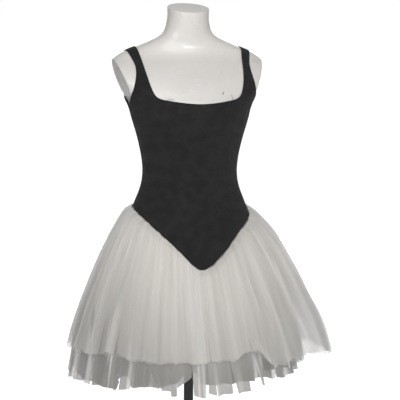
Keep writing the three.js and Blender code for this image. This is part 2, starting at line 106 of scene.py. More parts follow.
# %% Stage and lamps
FLOOR_SIZE = 900.0
SKY_LIGHT = 0.31
SKY_SEEN = 1.0
AIM = (0.0, 0.0, WAIST)
LAMPS = [
    # name, place, size, power, colour
    ("key_lamp", (0.85, -4.3, 1.8), 0.35, 48, (1.0, 0.985, 0.97)),
    ("soft_lamp", (-2.5, -3.5, 1.9), 2.6, 74, (1.0, 0.99, 0.98)),
    ("top_lamp", (0.1, -3.7, 3.3), 2.2, 58, (1.0, 0.99, 0.975)),
    ("back_lamp", (0.9, 3.9, 1.4), 3.0, 68, (0.97, 0.985, 1.0)),
]


def deselect():
    """Nothing stays selected, so an operator acts on the new piece alone."""
    if bpy.context.object and bpy.context.object.mode == "EDIT":
        bpy.ops.object.mode_set(mode="OBJECT")
    bpy.ops.object.select_all(action="DESELECT")


def add_lamp(name, place, size, power, colour):
    """A square area lamp turned towards the waist."""
    data = bpy.data.lights.new(name, "AREA")
    data.shape = "SQUARE"
    data.size = size
    data.energy = power
    data.color = colour
    made = add(name, data)
    made.location = place
    made.rotation_euler = (Vector(AIM) - Vector(place)).to_track_quat("-Z", "Y").to_euler()


def add_sky():
    """An even pale sky, seen brighter than it lights."""
    world = bpy.data.worlds.new("studio_sky")
    bpy.context.scene.world = world
    world.use_nodes = True
    tree = world.node_tree
    sky = tree.nodes["Background"]
    sky.inputs["Color"].default_value = (1.0, 1.0, 1.0, 1.0)
    rays = tree.nodes.new("ShaderNodeLightPath")
    seen = tree.nodes.new("ShaderNodeMapRange")
    seen.inputs["To Min"].default_value = SKY_LIGHT
    seen.inputs["To Max"].default_value = SKY_SEEN
    tree.links.new(rays.outputs["Is Camera Ray"], seen.inputs["Value"])
    tree.links.new(seen.outputs["Result"], sky.inputs["Strength"])


deselect()
bpy.ops.mesh.primitive_plane_add(size=FLOOR_SIZE, location=(0, 0, 0))
floor = bpy.context.object
floor.name = "floor"
add_sky()
for row in LAMPS:
    add_lamp(*row)
bpy.context.scene.view_settings.view_transform = "Standard"

# %% [markdown]
# ## Sizes shared with the construction
# Cloth lies on the form, so the form's level sections are the ruler for everything. Each section has
# a half width and its reach to the front and back, in millimetres from the waist's middle. A smooth
# curve runs through the rows. The same tables give the solids, so the dressed pieces fit them. Only
# the form's neck is a few millimetres slimmer here, where it slopes down to the shoulders.

# %% Section tables and curves
MM = 0.001
FORM_SECTIONS = [
    # height, half width, front, back, middle
    (-200, 172, 105, 122, 0),
    (-150, 166, 103, 117, 0),
    (-114, 156, 101, 111, 0),
    (-88, 147, 99, 105, 0),
    (-39, 127, 94, 92, 0),
    (0, 122, 92, 88, 0),
    (34, 125, 95, 89, 0),
    (73, 133, 105, 93, 0),
    (106, 142, 117, 97, 0),
    (143, 154, 122, 100, 1),
    (178, 163, 113, 102, 3),
    (196, 180, 103, 103, 6),
    (215, 203, 91, 104, 10),
    (240, 226, 72, 104, 16),
    (262, 228, 53, 102, 23),
    (276, 214, 41, 98, 28),
    (287, 200, 31, 94, 31),
    (298, 186, 23, 89, 33),
    (309, 166, 18, 85, 33),
    (320, 138, 16, 82, 33),
    (334, 104, 16, 82, 32),
    (348, 76, 18, 82, 31),
    (360, 63.5, 22, 82, 30),
    (375, 58, 26, 81, 28),
    (395, 54.5, 29, 80, 26),
    (420, 54.5, 31, 78, 24),
]
SEAM_LINE = [
    # turn from the front, height
    (-180, -88), (-140, -88), (-105, -90), (-88, -95), (-73, -104), (-60, -117), (-50, -130), (-34, -159),
    (-21, -190), (-11, -219), (-4, -238), (1, -246), (6, -246), (12, -234), (21, -207), (31, -178),
    (42, -151), (52, -136), (63, -124), (75, -114), (86, -102), (98, -93), (140, -88), (180, -88),
]
HIP = -200
SEAT_DEPTH = 100
EASE = 1.6
JERSEY_WALL = 1.2
JERSEY_FACE = EASE + JERSEY_WALL
SEAM_GAP = 0.3
TULLE_WALL = 1.1
LAYER_GAP = 1.4


def eased(t):
    """A rise from 0 to 1 that starts and ends level."""
    return t * t * (3 - 2 * t)


def wave(degrees):
    """The sine of an angle in degrees."""
    return np.sin(np.radians(degrees))


def unit(vectors):
    """Vectors brought to length 1."""
    return vectors / np.maximum(np.linalg.norm(vectors, axis=-1, keepdims=True), 1e-9)


def along(rows, column, place):
    """The column's value at a place between the rows, on a smooth curve through them."""
    table = np.array(rows, dtype=float)
    key, value = table[:, 0], table[:, column]
    place = np.clip(np.asarray(place, dtype=float), key[0], key[-1])
    last = len(key) - 1
    row = np.clip(np.searchsorted(key, place) - 1, 0, last - 1)
    before, after = np.maximum(np.arange(last + 1) - 1, 0), np.minimum(np.arange(last + 1) + 1, last)
    slope = (value[after] - value[before]) / (key[after] - key[before])
    step = key[row + 1] - key[row]
    t = (place - key[row]) / step
    bend = slope[row] * t * (1 - t) ** 2 - slope[row + 1] * t * t * (1 - t)
    return value[row] * (1 - eased(t)) + value[row + 1] * eased(t) + bend * step


def section(z):
    """The form's half width, front, back and middle at heights."""
    return (along(FORM_SECTIONS, column, z) for column in (1, 2, 3, 4))


def bare(turn, z):
    """Points of the bare form at turns in degrees and heights in millimetres."""
    turn, z = np.broadcast_arrays(np.asarray(turn, dtype=float), np.asarray(z, dtype=float))
    fall = np.clip((HIP - np.minimum(z, HIP)) / SEAT_DEPTH, 0, 1)
    shrink = np.sqrt(1 - fall * fall)
    half, front, back, middle = (size * shrink for size in section(np.maximum(z, HIP)))
    ahead = np.cos(np.radians(turn))
    reach = np.where(ahead > 0, front + middle, back - middle)
    return np.stack([half * wave(turn), middle - reach * ahead, z], axis=-1)


def outward(surface, turn, z, probe=0.4):
    """Unit normals of a surface that is given by a turn and a height."""
    across = surface(turn + probe, z) - surface(turn - probe, z)
    up = surface(turn, z + probe) - surface(turn, z - probe)
    return unit(np.cross(across, up))


def on_form(turn, z, off):
    """Points of the form pushed out by a distance."""
    return bare(turn, z) + outward(bare, turn, z) * off


def turn_at(x, z):
    """The turn at which the form's section reaches a half width."""
    return np.degrees(np.arcsin(np.clip(x / along(FORM_SECTIONS, 1, z), -1, 1)))


def wrapped(turn):
    """A turn brought between -180 and 180."""
    return (np.asarray(turn, dtype=float) + 180.0) % 360.0 - 180.0


def seam_height(turn):
    """The height of the pointed waist seam."""
    return along(SEAM_LINE, 1, wrapped(turn))


print("waist:", np.round(bare(np.array([0.0, 90.0]), np.array([0.0, 0.0])), 1).tolist())

# %% [markdown]
# ## Helpers for making cloth and bodies
# A sheet starts as what it is on the cutting table: a flat grid. Its vertices are then carried to
# their places by a formula, which keeps the rows and columns of the cloth and its own UV map.
# Sculpting or simulation could shape it too, but a formula gives the same folds on every run.

# %% Grid, finish and edge helpers
def new_grid(name, columns, rows):
    """A flat grid of unit size, with each vertex's column and row."""
    deselect()
    bpy.ops.mesh.primitive_grid_add(x_subdivisions=columns, y_subdivisions=rows, size=1.0)
    made = bpy.context.object
    made.name = name
    made.data.name = name
    flat = positions(made)
    column = np.rint((flat[:, 0] + 0.5) * columns).astype(int)
    row = np.rint((flat[:, 1] + 0.5) * rows).astype(int)
    return made, column, row


def positions(made, field="co"):
    """The vertices' places, or another field of three numbers, as rows."""
    values = np.empty(len(made.data.vertices) * 3)
    made.data.vertices.foreach_get(field, values)
    return values.reshape(-1, 3)


def carry(made, points_mm):
    """Moves the vertices to points in millimetres from the waist, and leaves the object at the origin."""
    points = np.array(points_mm, dtype=float) * MM
    points[:, 2] += WAIST
    made.location = (0, 0, 0)
    made.data.vertices.foreach_set("co", points.ravel())
    made.data.update()


def select_only(made):
    """Selects one object and makes it active."""
    deselect()
    bpy.context.view_layer.objects.active = made
    made.select_set(True)


def edit(made, *steps):
    """Runs edit-mode steps on the whole piece."""
    select_only(made)
    bpy.ops.object.mode_set(mode="EDIT")
    bpy.ops.mesh.select_all(action="SELECT")
    for step in steps:
        step()
    bpy.ops.object.mode_set(mode="OBJECT")


def apply(made, name):
    """Applies one modifier."""
    select_only(made)
    bpy.ops.object.modifier_apply(modifier=name)


def smooth(made, angle=60):
    """Smooth shading up to an angle."""
    select_only(made)
    bpy.ops.object.shade_smooth_by_angle(angle=math.radians(angle))


def area_of(made):
    """The area of all the faces, in square metres."""
    return sum(face.area for face in made.data.polygons)


def triangles(made):
    """How many triangles the piece has."""
    made.data.calc_loop_triangles()
    return len(made.data.loop_triangles)


def round_rims(made, width, segments):
    """A narrow bevel on the sharp edges."""
    bevel = made.modifiers.new("rims", "BEVEL")
    bevel.width = width
    bevel.segments = segments
    bevel.limit_method = "ANGLE"
    apply(made, "rims")


def lay_map(made, u, v):
    """The cloth's own UV map, in metres, from two values a vertex."""
    corner = np.empty(len(made.data.loops), dtype=int)
    made.data.loops.foreach_get("vertex_index", corner)
    layer = made.data.uv_layers.active or made.data.uv_layers.new(name="cloth")
    layer.data.foreach_set("uv", np.stack([u[corner], v[corner]], axis=1).ravel())


def finish(made, slot, *nodes):
    """The piece rides on the one body and stands for its nodes. Its slot is not used."""
    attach(made, "root")
    if nodes:
        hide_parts(*nodes)


print("floor:", triangles(floor), "triangles,", round(area_of(floor)), "square metres")

# %% [markdown]
# ## The dress form
# The real form is a hollow glossy shell, cut off flat at the arms and the neck. A lathe can't make
# it, because its sections aren't round. A grid is wrapped round the section curves instead and
# flattened at the arms, and a narrow bevel rounds the rims as moulding does. The neck's cut leans.

# %% Form
FORM_COLUMNS = 144
SEAT_ANGLES = np.linspace(80, 4, 16)
BODY_ROWS = 150
ARM_LOW = (160, 178)
ARM_HIGH = (200, 290)
NECK_TILT_FROM = 372
NECK_TOP = 420
NECK_TILT = 0.23
RIM = 0.0022
RIM_STEPS = 3
RIGHT_ARM_IN = 5.0
ARM_LEAN_OVER = 60.0


def make_form():
    """The whole form as one smooth body."""
    seat = HIP - SEAT_DEPTH * wave(SEAT_ANGLES)
    levels = np.concatenate([seat, np.linspace(HIP, NECK_TOP, BODY_ROWS)])
    made, column, row = new_grid("dress_form", FORM_COLUMNS, len(levels) - 1)
    z = levels[row]
    points = bare(column * 360.0 / FORM_COLUMNS, z)
    tilt = NECK_TILT * eased(np.clip((z - NECK_TILT_FROM) / (NECK_TOP - NECK_TILT_FROM), 0, 1))
    points[:, 2] += tilt * (points[:, 1] - along(FORM_SECTIONS, 4, np.maximum(z, HIP)))
    slope = (ARM_HIGH[0] - ARM_LOW[0]) / (ARM_HIGH[1] - ARM_LOW[1])
    limit = np.where(z >= ARM_LOW[1], ARM_LOW[0] + slope * (z - ARM_LOW[1]), np.inf)
    lean = RIGHT_ARM_IN * np.clip((ARM_HIGH[1] - z) / ARM_LEAN_OVER, 0, 1)
    points[:, 0] = np.clip(points[:, 0], -limit, limit - lean)
    carry(made, points)
    edit(
        made,
        lambda: bpy.ops.mesh.remove_doubles(threshold=1e-5),
        lambda: bpy.ops.mesh.select_all(action="DESELECT"),
        lambda: bpy.ops.mesh.select_non_manifold(),
        lambda: bpy.ops.mesh.fill_holes(sides=0),
        lambda: bpy.ops.mesh.select_all(action="SELECT"),
        lambda: bpy.ops.mesh.normals_make_consistent(inside=False),
    )
    round_rims(made, RIM, RIM_STEPS)
    smooth(made, 45)
    finish(made, "white_form", "form_torso")
    return made


dress_form = make_form()
print("form triangles:", triangles(dress_form))

# %% [markdown]
# ## The stand
# The photograph shows only a short length of a dark pole. A plain round base carries it. Both are
# lathe shapes, so cylinders with bevelled rims are enough. Their sizes are in metres.

# %% Stand
BASE_RADIUS = 0.150
BASE_THICK = 0.008
POLE_RADIUS = 0.0125


def make_rod(name, radius, low, high, sides, rim):
    """An upright cylinder with rounded rims."""
    deselect()
    bpy.ops.mesh.primitive_cylinder_add(
        vertices=sides, radius=radius, depth=high - low, location=(0, 0, (low + high) / 2)
    )
    made = bpy.context.object
    made.name = name
    bpy.ops.object.transform_apply(location=True, rotation=True, scale=True)
    round_rims(made, rim, 4)
    smooth(made, 40)
    return made


pole_low, pole_high = (corner[2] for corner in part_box("stand_pole"))
stand_base = make_rod("base_disc", BASE_RADIUS, 0.0, BASE_THICK, 128, 0.003)
stand_pole = make_rod("pole", POLE_RADIUS, pole_low, pole_high, 64, 0.0006)
finish(stand_base, "black_metal", "stand_base")
finish(stand_pole, "black_metal", "stand_pole")
print("pole from", round(pole_low, 4), "to", round(pole_high, 4))

# %% [markdown]
# ## The leotard's edges
# The neckline and the armholes are turned in and stitched down. Their lines are needed twice: a
# shallow groove runs beside them in the cloth, and the stitches lie in it. The lines come from the
# same pattern tables as the solids: heights and half widths out from the middle.

# %% Edge lines
FRONT_PATTERN = {
    # the neckline's half width and height, then the strap, then the armhole's height and half width
    "neck": [(0, 178), (20, 178.6), (42, 180.6), (64, 183.4),
             (84, 186.4), (98, 189), (108, 194), (115, 203)],
    "strap": [
        # height, inner edge, outer edge
        (203, 115, 162),
        (215, 119.5, 161),
        (242, 126, 155),
        (270, 130.5, 151),
        (295, 134, 159),
        (320, 139, 167),
    ],
    "outer_foot": 213,
    "armhole": [(68, 196), (79, 182)],
}
BACK_PATTERN = {
    "neck": [(0, 128), (22, 129), (44, 133), (64, 140),
             (82, 151), (96, 165), (106, 181), (113, 199)],
    "strap": [
        (199, 113, 158),
        (215, 118, 154),
        (242, 125, 151),
        (270, 130.5, 152),
        (295, 134, 159),
        (320, 139, 167),
    ],
    "outer_foot": 207,
    "armhole": [(66, 197), (79, 187)],
}
UNDERARM = 177
RIDGE_HEIGHTS = np.linspace(290, 345, 400)


def ridge(x):
    """The height of the shoulder's ridge at a distance from the middle."""
    return float(np.interp(-x, -along(FORM_SECTIONS, 1, RIDGE_HEIGHTS), RIDGE_HEIGHTS))


def strap_edge(pattern, column):
    """Turns and heights up one edge of a strap."""
    low = pattern["strap"][0][0] if column == 1 else pattern["outer_foot"]
    top = ridge(pattern["strap"][-1][column])
    z = np.linspace(low, top - 0.4, 26)
    return list(zip(turn_at(along(pattern["strap"], column, z), z), z))


def place_edge(rows, side, behind):
    """Points on the cloth's face, with its outward directions, for turns and heights of one side."""
    turn, z = np.array(rows).T
    turn = np.where(behind, 180 + side * turn, side * turn)
    return np.concatenate([on_form(turn, z, JERSEY_FACE), outward(bare, turn, z)], axis=1)


def edge_lines():
    """Lines of the neckline and the armholes, and on which hand the cloth lies beside each."""
    lines = []
    for pattern, behind in ((FRONT_PATTERN, False), (BACK_PATTERN, True)):
        neck = [(float(turn_at(x, z)), z) for x, z in pattern["neck"]] + strap_edge(pattern, 1)
        arm = [(90, UNDERARM)] + pattern["armhole"][::-1] + strap_edge(pattern, 2)
        right, left = place_edge(neck, 1, behind), place_edge(neck, -1, behind)
        lines.append((resample(np.concatenate([left[::-1], right[1:]])), 1))
        lines += [(resample(place_edge(arm, side, behind)), -side) for side in (-1, 1)]
    return lines


def resample(line, step=2.0):
    """Evenly spaced rows along a line, whose first three columns are its points."""
    length = np.concatenate([[0], np.cumsum(np.linalg.norm(np.diff(line[:, :3], axis=0), axis=1))])
    even = np.linspace(0, length[-1], int(length[-1] / step) + 1)
    return np.stack([np.interp(even, length, line[:, i]) for i in range(line.shape[1])], axis=1)


EDGES = edge_lines()
print("edge lengths in mm:", [2 * (len(line) - 1) for line, hand in EDGES])

# %% [markdown]
# ## The seam as it is sewn
# The gathers pull the sewn edge a few millimetres off its drawn line: the point hangs lower, and the
# edge sways. The jersey above it, the lower part and the net all follow this one line, each dying
# away from it.

# %% Sewn seam
SEAM_DROP = [
    # turn, how far the sewn seam hangs below the drawn one
    (-180, 0), (-60, 0), (-34, 0.6), (-21, 1.2), (-11, 2.2), (-5, 3.2), (3, 3.8), (12, 5.4),
    (21, 5.2), (31, 3.8), (38, 2.6), (46, 3.4), (56, 4.2), (66, 1.5), (78, 0), (180, 0),
]
DROP_REACH = 32.0
POINT_TURN = 3.5
POINT_FILL = 1.6
SWAY = 0.55


def seam_drop(turn):
    """How far the sewn seam hangs below the drawn one, with its sway."""
    at = wrapped(turn)
    sway = wave(at * 31 + 10) + 0.8 * wave(at * 53 + 80) + 0.5 * wave(at * 89)
    return along(SEAM_DROP, 1, at) + SWAY * sway


def sewn_seam(turn):
    """The height of the seam as it is sewn."""
    return seam_height(turn) - seam_drop(turn)


def near_point(turn, width):
    """1 at the seam's point, dying away to both sides."""
    return np.exp(-(((turn - POINT_TURN) / width) ** 2))


def follow_seam(points):
    """Moves points near the drawn seam down the form to the sewn one."""
    x, y, z = points.T
    half, front, back, middle = section(np.clip(z, HIP + 1, 400))
    reach = np.where(y < middle, front + middle, back - middle)
    turn = np.degrees(np.arctan2(x / half, (middle - y) / reach))
    near = np.clip(1 - np.abs(z - seam_height(turn)) / DROP_REACH, 0, 1)
    drop = (seam_drop(turn) + POINT_FILL * near_point(turn, 6.0)) * eased(near)
    return points + bare(turn, z - drop) - bare(turn, z)


print("seam drop at the point:", np.round(seam_drop(np.array([0.0, 6.0, 30.0])), 2).tolist())

# %% [markdown]
# ## Jersey panels
# The jersey's walls already have their true outline in the construction, so a copy of each is made
# fine instead of drawn again: merged, turned to quads and subdivided. Each crease is then listed: a
# soft trough or ridge between two points, with its own width and depth. Stretch cloth lies smooth, so
# they are few and shallow. Both faces of the wall move together.

# %% Jersey
JERSEY_DETAIL = {"bodice_front": 3, "bodice_back": 3, "brief_front": 2, "brief_back": 2, "gusset": 2}
STITCH_IN = 7.0
ROLL_IN = 3.2
ROLL_HEIGHT = 0.35
GROOVE_DEPTH = 0.45
DEEPEST = -1.3
SIDE_CLOSE = 0.7
KNIT_PER_DEGREE = 0.0024
FRONT_CREASES = [
    # from x, z to x, z, half width, height: minus is a trough
    (70, -72, -28, -131, 10, 1.7),
    (78, -90, -16, -141, 10, -1.5),
    (-4, -181, 14, -178, 4.5, -1.0),
    (-6, -199, 14, -196, 4.5, -0.9),
    (8, -33, 38, -47, 5, -1.1),
    (-46, -40, -45, -78, 7, 0.6),
    (-112, 98, -103, 74, 4, 0.8),
    (-79, 184, -64, 158, 4.0, -1.3),
    (-72, 184, -58, 160, 4.5, 0.7),
    (82, 182, 68, 154, 4.0, -1.3),
    (75, 182, 60, 156, 4.5, 0.7),
    (22, 96, 92, 80, 20, -1.6),
    (-84, 92, -28, 104, 18, -1.1),
    (-119, 10, -82, 1, 6, -1.1),
    (-117, -14, -78, -26, 7, -1.0),
    (119, 4, 84, 14, 6, -1.0),
    (117, -18, 88, -30, 7, -0.9),
    (-138, 214, -122, 200, 5, -0.4),
    (-133, 206, -116, 190, 5, 0.8),
    (140, 206, 126, 192, 5, -1.0),
    (-150, 160, -128, 148, 5, -0.9),
    (150, 158, 130, 140, 5, -0.9),
    (-126, -100, -98, -122, 6, -0.8),
    (40, -176, 78, -142, 8, -0.8),
]
BACK_CREASES = [
    (-64, 16, 34, 8, 9, -1.5),
    (-30, -20, 74, -14, 8, -1.3),
    (-84, -42, -8, -52, 9, -1.1),
    (36, 40, 98, 54, 8, -1.0),
    (-20, 28, 60, 24, 7, 0.8),
    (-70, 136, -40, 104, 5, -1.1),
    (74, 138, 46, 98, 5, -1.1),
    (-128, 168, -96, 150, 6, -1.1),
    (130, 166, 98, 152, 6, -1.0),
    (-40, 116, -22, 66, 8, -0.8),
    (20, 118, 12, 70, 8, -0.7),
    (118, -6, 80, -20, 7, -0.9),
    (-118, 6, -84, -4, 7, -0.9),
]


def ridge_field(x, z, row):
    """One crease: full between its ends, dying away past them and to both sides."""
    x0, z0, x1, z1, width, height = row
    length = math.hypot(x1 - x0, z1 - z0)
    ux, uz = (x1 - x0) / length, (z1 - z0) / length
    run = (x - x0) * ux + (z - z0) * uz
    sway = 0.18 * width * np.sin(run / length * 5 + x0)
    across = (z - z0) * ux - (x - x0) * uz + sway
    past = np.maximum(np.abs(run - length / 2) - length * 0.22, 0) / (length * 0.32)
    lean = 0.75 + 0.25 * np.sin(run / length * 3 + z0)
    return height * lean * np.exp(-((across / width) ** 2) - past**2)


def crease_depth(points):
    """How far the cloth moves outwards at each point, in millimetres."""
    x, y, z = points.T
    front, back = (sum(ridge_field(x, z, row) for row in rows) for rows in (FRONT_CREASES, BACK_CREASES))
    facing = np.clip(0.5 - y / 30.0, 0, 1)
    return front * facing + back * (1 - facing)


def edge_roll(points):
    """The turned edge: a little plump, with a shallow groove where it is stitched down."""
    lines = np.concatenate([line[:, :3] for line, hand in EDGES])
    nearest = np.full(len(points), np.inf)
    for start in range(0, len(lines), 200):
        apart = np.linalg.norm(points[:, None, :] - lines[None, start : start + 200], axis=2)
        nearest = np.minimum(nearest, apart.min(axis=1))
    roll = ROLL_HEIGHT * np.exp(-(((nearest - ROLL_IN) / 2.2) ** 2))
    return roll - GROOVE_DEPTH * np.exp(-(((nearest - STITCH_IN) / 1.3) ** 2))


def make_jersey(node):
    """A fine copy of one jersey wall, with its creases."""
    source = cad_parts[node]
    made = source.copy()
    made.data = source.data.copy()
    made.name = node + "_cloth"
    made.data.name = made.name
    made.parent = None
    made.data.materials.clear()
    bpy.context.scene.collection.objects.link(made)
    edit(
        made,
        lambda: bpy.ops.mesh.remove_doubles(threshold=2e-6),
        lambda: bpy.ops.mesh.tris_convert_to_quads(
            face_threshold=math.radians(60), shape_threshold=math.radians(80)
        ),
        lambda: bpy.ops.mesh.normals_make_consistent(inside=False),
    )
    refine = made.modifiers.new("refine", "SUBSURF")
    refine.levels = refine.render_levels = JERSEY_DETAIL[node]
    apply(made, "refine")
    points = follow_seam(positions(made) / MM - np.array([0, 0, WAIST / MM]))
    if node.startswith("bodice"):
        away = unit(points * np.array([1.0, 1.6, 0.0]))
        move = np.maximum(crease_depth(points) + edge_roll(points), DEEPEST)
        points = points + away * move[:, None]
        apart = points[:, 1] - along(FORM_SECTIONS, 4, points[:, 2])
        close = SIDE_CLOSE * np.exp(-((apart / 4.0) ** 2))
        points[:, 1] += close if node.endswith("front") else -close
    carry(made, points)
    smooth(made, 70)
    lay_jersey_map(made)
    finish(made, "black_jersey", node)
    return made


def lay_jersey_map(made):
    """The knit's own map in metres: round the body, and up."""
    points = positions(made)
    turn = np.degrees(np.arctan2(points[:, 0], -points[:, 1]))
    if "back" in made.name:
        turn = turn % 360.0
    lay_map(made, turn * KNIT_PER_DEGREE, points[:, 2])


jersey = {node: make_jersey(node) for node in JERSEY_DETAIL}
print("jersey triangles:", {name: triangles(o) for name, o in jersey.items()})

# %% [markdown]
# ## Seams closed from inside
# The panels end just short of each other. On the real leotard the sewn allowance fills that groove
# from inside, so a narrow black strip lies in it down each side and over each shoulder.

# %% Seam allowances
ALLOWANCES = [
    # name, side, lowest and highest height
    ("side_allowance_left", -1, -92, 177.3),
    ("side_allowance_right", 1, -92, 177.3),
    ("shoulder_allowance_left", -1, 309.6, 319.6),
    ("shoulder_allowance_right", 1, 309.6, 319.6),
]
ALLOWANCE_COLUMNS = 4
ALLOWANCE_ROWS = 60
ALLOWANCE_OFF = 2.25
ALLOWANCE_STEP = 0.9


def seam_allowance(name, side, low, high):
    """A narrow strip in the groove between the front and the back panel, highest along its middle."""
    made, column, row = new_grid(name, ALLOWANCE_COLUMNS, ALLOWANCE_ROWS)
    z = low + (high - low) * row / ALLOWANCE_ROWS
    aside = column - ALLOWANCE_COLUMNS / 2
    points = on_form(np.full(len(z), 90.0 * side), z, (ALLOWANCE_OFF - 0.25 * np.abs(aside))[:, None])
    points[:, 1] += aside * ALLOWANCE_STEP
    carry(made, points)
    if side < 0:
        edit(made, lambda: bpy.ops.mesh.flip_normals())
    smooth(made)
    finish(made, "black_jersey")
    return made


allowances = [seam_allowance(*row) for row in ALLOWANCES]
print("allowances:", [o.name for o in allowances])

# %% [markdown]
# ## Stitching
# A twin needle leaves two rows of short stitches inside every turned edge. One row runs on each side
# of the side seams, and one over the waist seam. Each stitch is a tiny thread bar sunk halfway into
# the cloth. A texture could draw them, but real bars catch the light at a grazing angle.

# %% Stitches
STITCH_LONG = 2.1
STITCH_PITCH = 3.0
THREAD_RADIUS = 0.17
NEEDLES = (-1.2, 1.4)
SIDE_SEAM = (-84, 168)
SIDE_TURN = 1.3
ABOVE_WAIST = 4.5
NEAREST_CLOTH = 0.0035
BAR_RINGS = ((-0.5, 0.4, -0.1), (-0.3, 1.0, 0.08), (0.3, 1.0, 0.08), (0.5, 0.4, -0.1))


def beside(line, hand, distance):
    """The line moved sideways over the cloth, to the hand where the cloth lies."""
    side = unit(np.cross(np.gradient(line[:, :3], axis=0), line[:, 3:]))
    return line[:, :3] + side * distance * hand


def stitch_mesh(name, lines, cloths):
    """Thread bars along lines of points, each set on the nearest cloth, as one mesh."""
    trees = [tree_of(cloth) for cloth in cloths]
    verts, faces = [], []
    for line in lines:
        even = resample(line, STITCH_PITCH)
        for point, ahead in zip(even, np.gradient(even, axis=0)):
            spot = Vector(point * MM + np.array([0, 0, WAIST]))
            place, normal, _, far = min((tree.find_nearest(spot) for tree in trees), key=lambda hit: hit[3])
            if far <= NEAREST_CLOTH:
                add_stitch(verts, faces, place, normal, Vector(ahead).normalized())
    mesh = bpy.data.meshes.new(name)
    mesh.from_pydata(verts, [], faces)
    made = add(name, mesh)
    edit(made, lambda: bpy.ops.mesh.normals_make_consistent(inside=False))
    smooth(made)
    finish(made, "black_jersey")
    return made


def tree_of(made):
    """A search tree of a piece's faces."""
    places = [vertex.co for vertex in made.data.vertices]
    return BVHTree.FromPolygons(places, [face.vertices for face in made.data.polygons])


def add_stitch(verts, faces, spot, normal, ahead):
    """One bar of thread with drawn-in ends, lying along a direction on the cloth."""
    ahead = (ahead - normal * ahead.dot(normal)).normalized()
    side = ahead.cross(normal)
    base = len(verts)
    for at, size, lift in BAR_RINGS:
        for angle in (0, 60, 120, 180, 240, 300):
            turn = math.radians(angle)
            ring = (normal * math.cos(turn) + side * math.sin(turn)) * THREAD_RADIUS * size
            verts.append(spot + (normal * lift + ahead * at * STITCH_LONG + ring) * MM)
    for ring in range(3):
        for k in range(6):
            a, b = base + ring * 6 + k, base + ring * 6 + (k + 1) % 6
            faces.append((a, b, b + 6, a + 6))
    faces.append(tuple(base + k for k in reversed(range(6))))
    faces.append(tuple(base + 18 + k for k in range(6)))


bodice = (jersey["bodice_front"], jersey["bodice_back"])
twin_rows = [beside(line, hand, STITCH_IN + shift) for line, hand in EDGES for shift in NEEDLES]
edge_stitches = stitch_mesh("edge_stitches", twin_rows, bodice)
side_rows = [
    on_form(np.full(60, 90.0 * side + SIDE_TURN * shift), np.linspace(*SIDE_SEAM, 60), JERSEY_FACE)
    for side in (-1, 1)
    for shift in (-1, 1)
]
side_stitches = stitch_mesh("side_stitches", side_rows, bodice)
round_turns = np.linspace(-180, 179.5, 720)
waist_row = on_form(round_turns, sewn_seam(round_turns) + ABOVE_WAIST, JERSEY_FACE)
waist_stitches = stitch_mesh("waist_stitches", [waist_row], bodice)
STITCHES = (edge_stitches, side_stitches, waist_stitches)
print("stitches:", [len(o.data.vertices) // 24 for o in STITCHES])

# %% [markdown]
# ## Pulled threads
# Where the neckline is pulled at two places, a loop of thread stands out of its edge. Each loop is a
# short curve with both ends in the cloth, turned into a thin tube.

# %% Thread loops
LOOPS = [
    # name, then points of x, depth outwards from the cloth and height above the neckline
    ("thread_loop_left", [(-87, 0.6, -1.2), (-82, 1.6, 1.4), (-76, 1.9, 3.0), (-69, 1.2, 2.6)]),
    ("thread_loop_right", [(87, 0.4, -1.5), (86, 1.5, 4.5), (83.5, 2.0, 9.5), (80, 1.4, 13.5)]),
]
LOOP_RADIUS = 0.00028
LOOP_FOOT = 1.7


def neckline(x):
    """The front neckline's height at a distance from the middle."""
    return along(FRONT_PATTERN["neck"], 1, abs(x))


def thread_loop(name, rows):
    """A thin tube through points that are given by their place on the chest."""
    curve = bpy.data.curves.new(name, "CURVE")
    curve.dimensions = "3D"
    curve.bevel_depth = LOOP_RADIUS
    curve.resolution_u = 8
    spline = curve.splines.new("BEZIER")
    spline.bezier_points.add(len(rows) - 1)
    for knot, (x, out, above) in zip(spline.bezier_points, rows):
        z = neckline(x) + above
        point = on_form(turn_at(x, z), z, LOOP_FOOT + out)
        knot.co = Vector(point * MM) + Vector((0, 0, WAIST))
        knot.handle_left_type = knot.handle_right_type = "AUTO"
    select_only(add(name, curve))
    bpy.ops.object.convert(target="MESH")
    made = bpy.context.object
    smooth(made, 80)
    finish(made, "black_jersey")
    return made


loops = [thread_loop(name, rows) for name, rows in LOOPS]
print("loops:", [triangles(o) for o in loops])

# %% [markdown]
# ## The tulle layers
# Each layer is one strip of net gathered into the pointed seam. Near the seam the gathers are many
# and small; further down they merge into broader folds, and the hem is cut into hanging strips. The
# formula adds these waves one on another, and each slit parts two strips that share their edge above
# it. Cloth simulation would blur such thin strips.

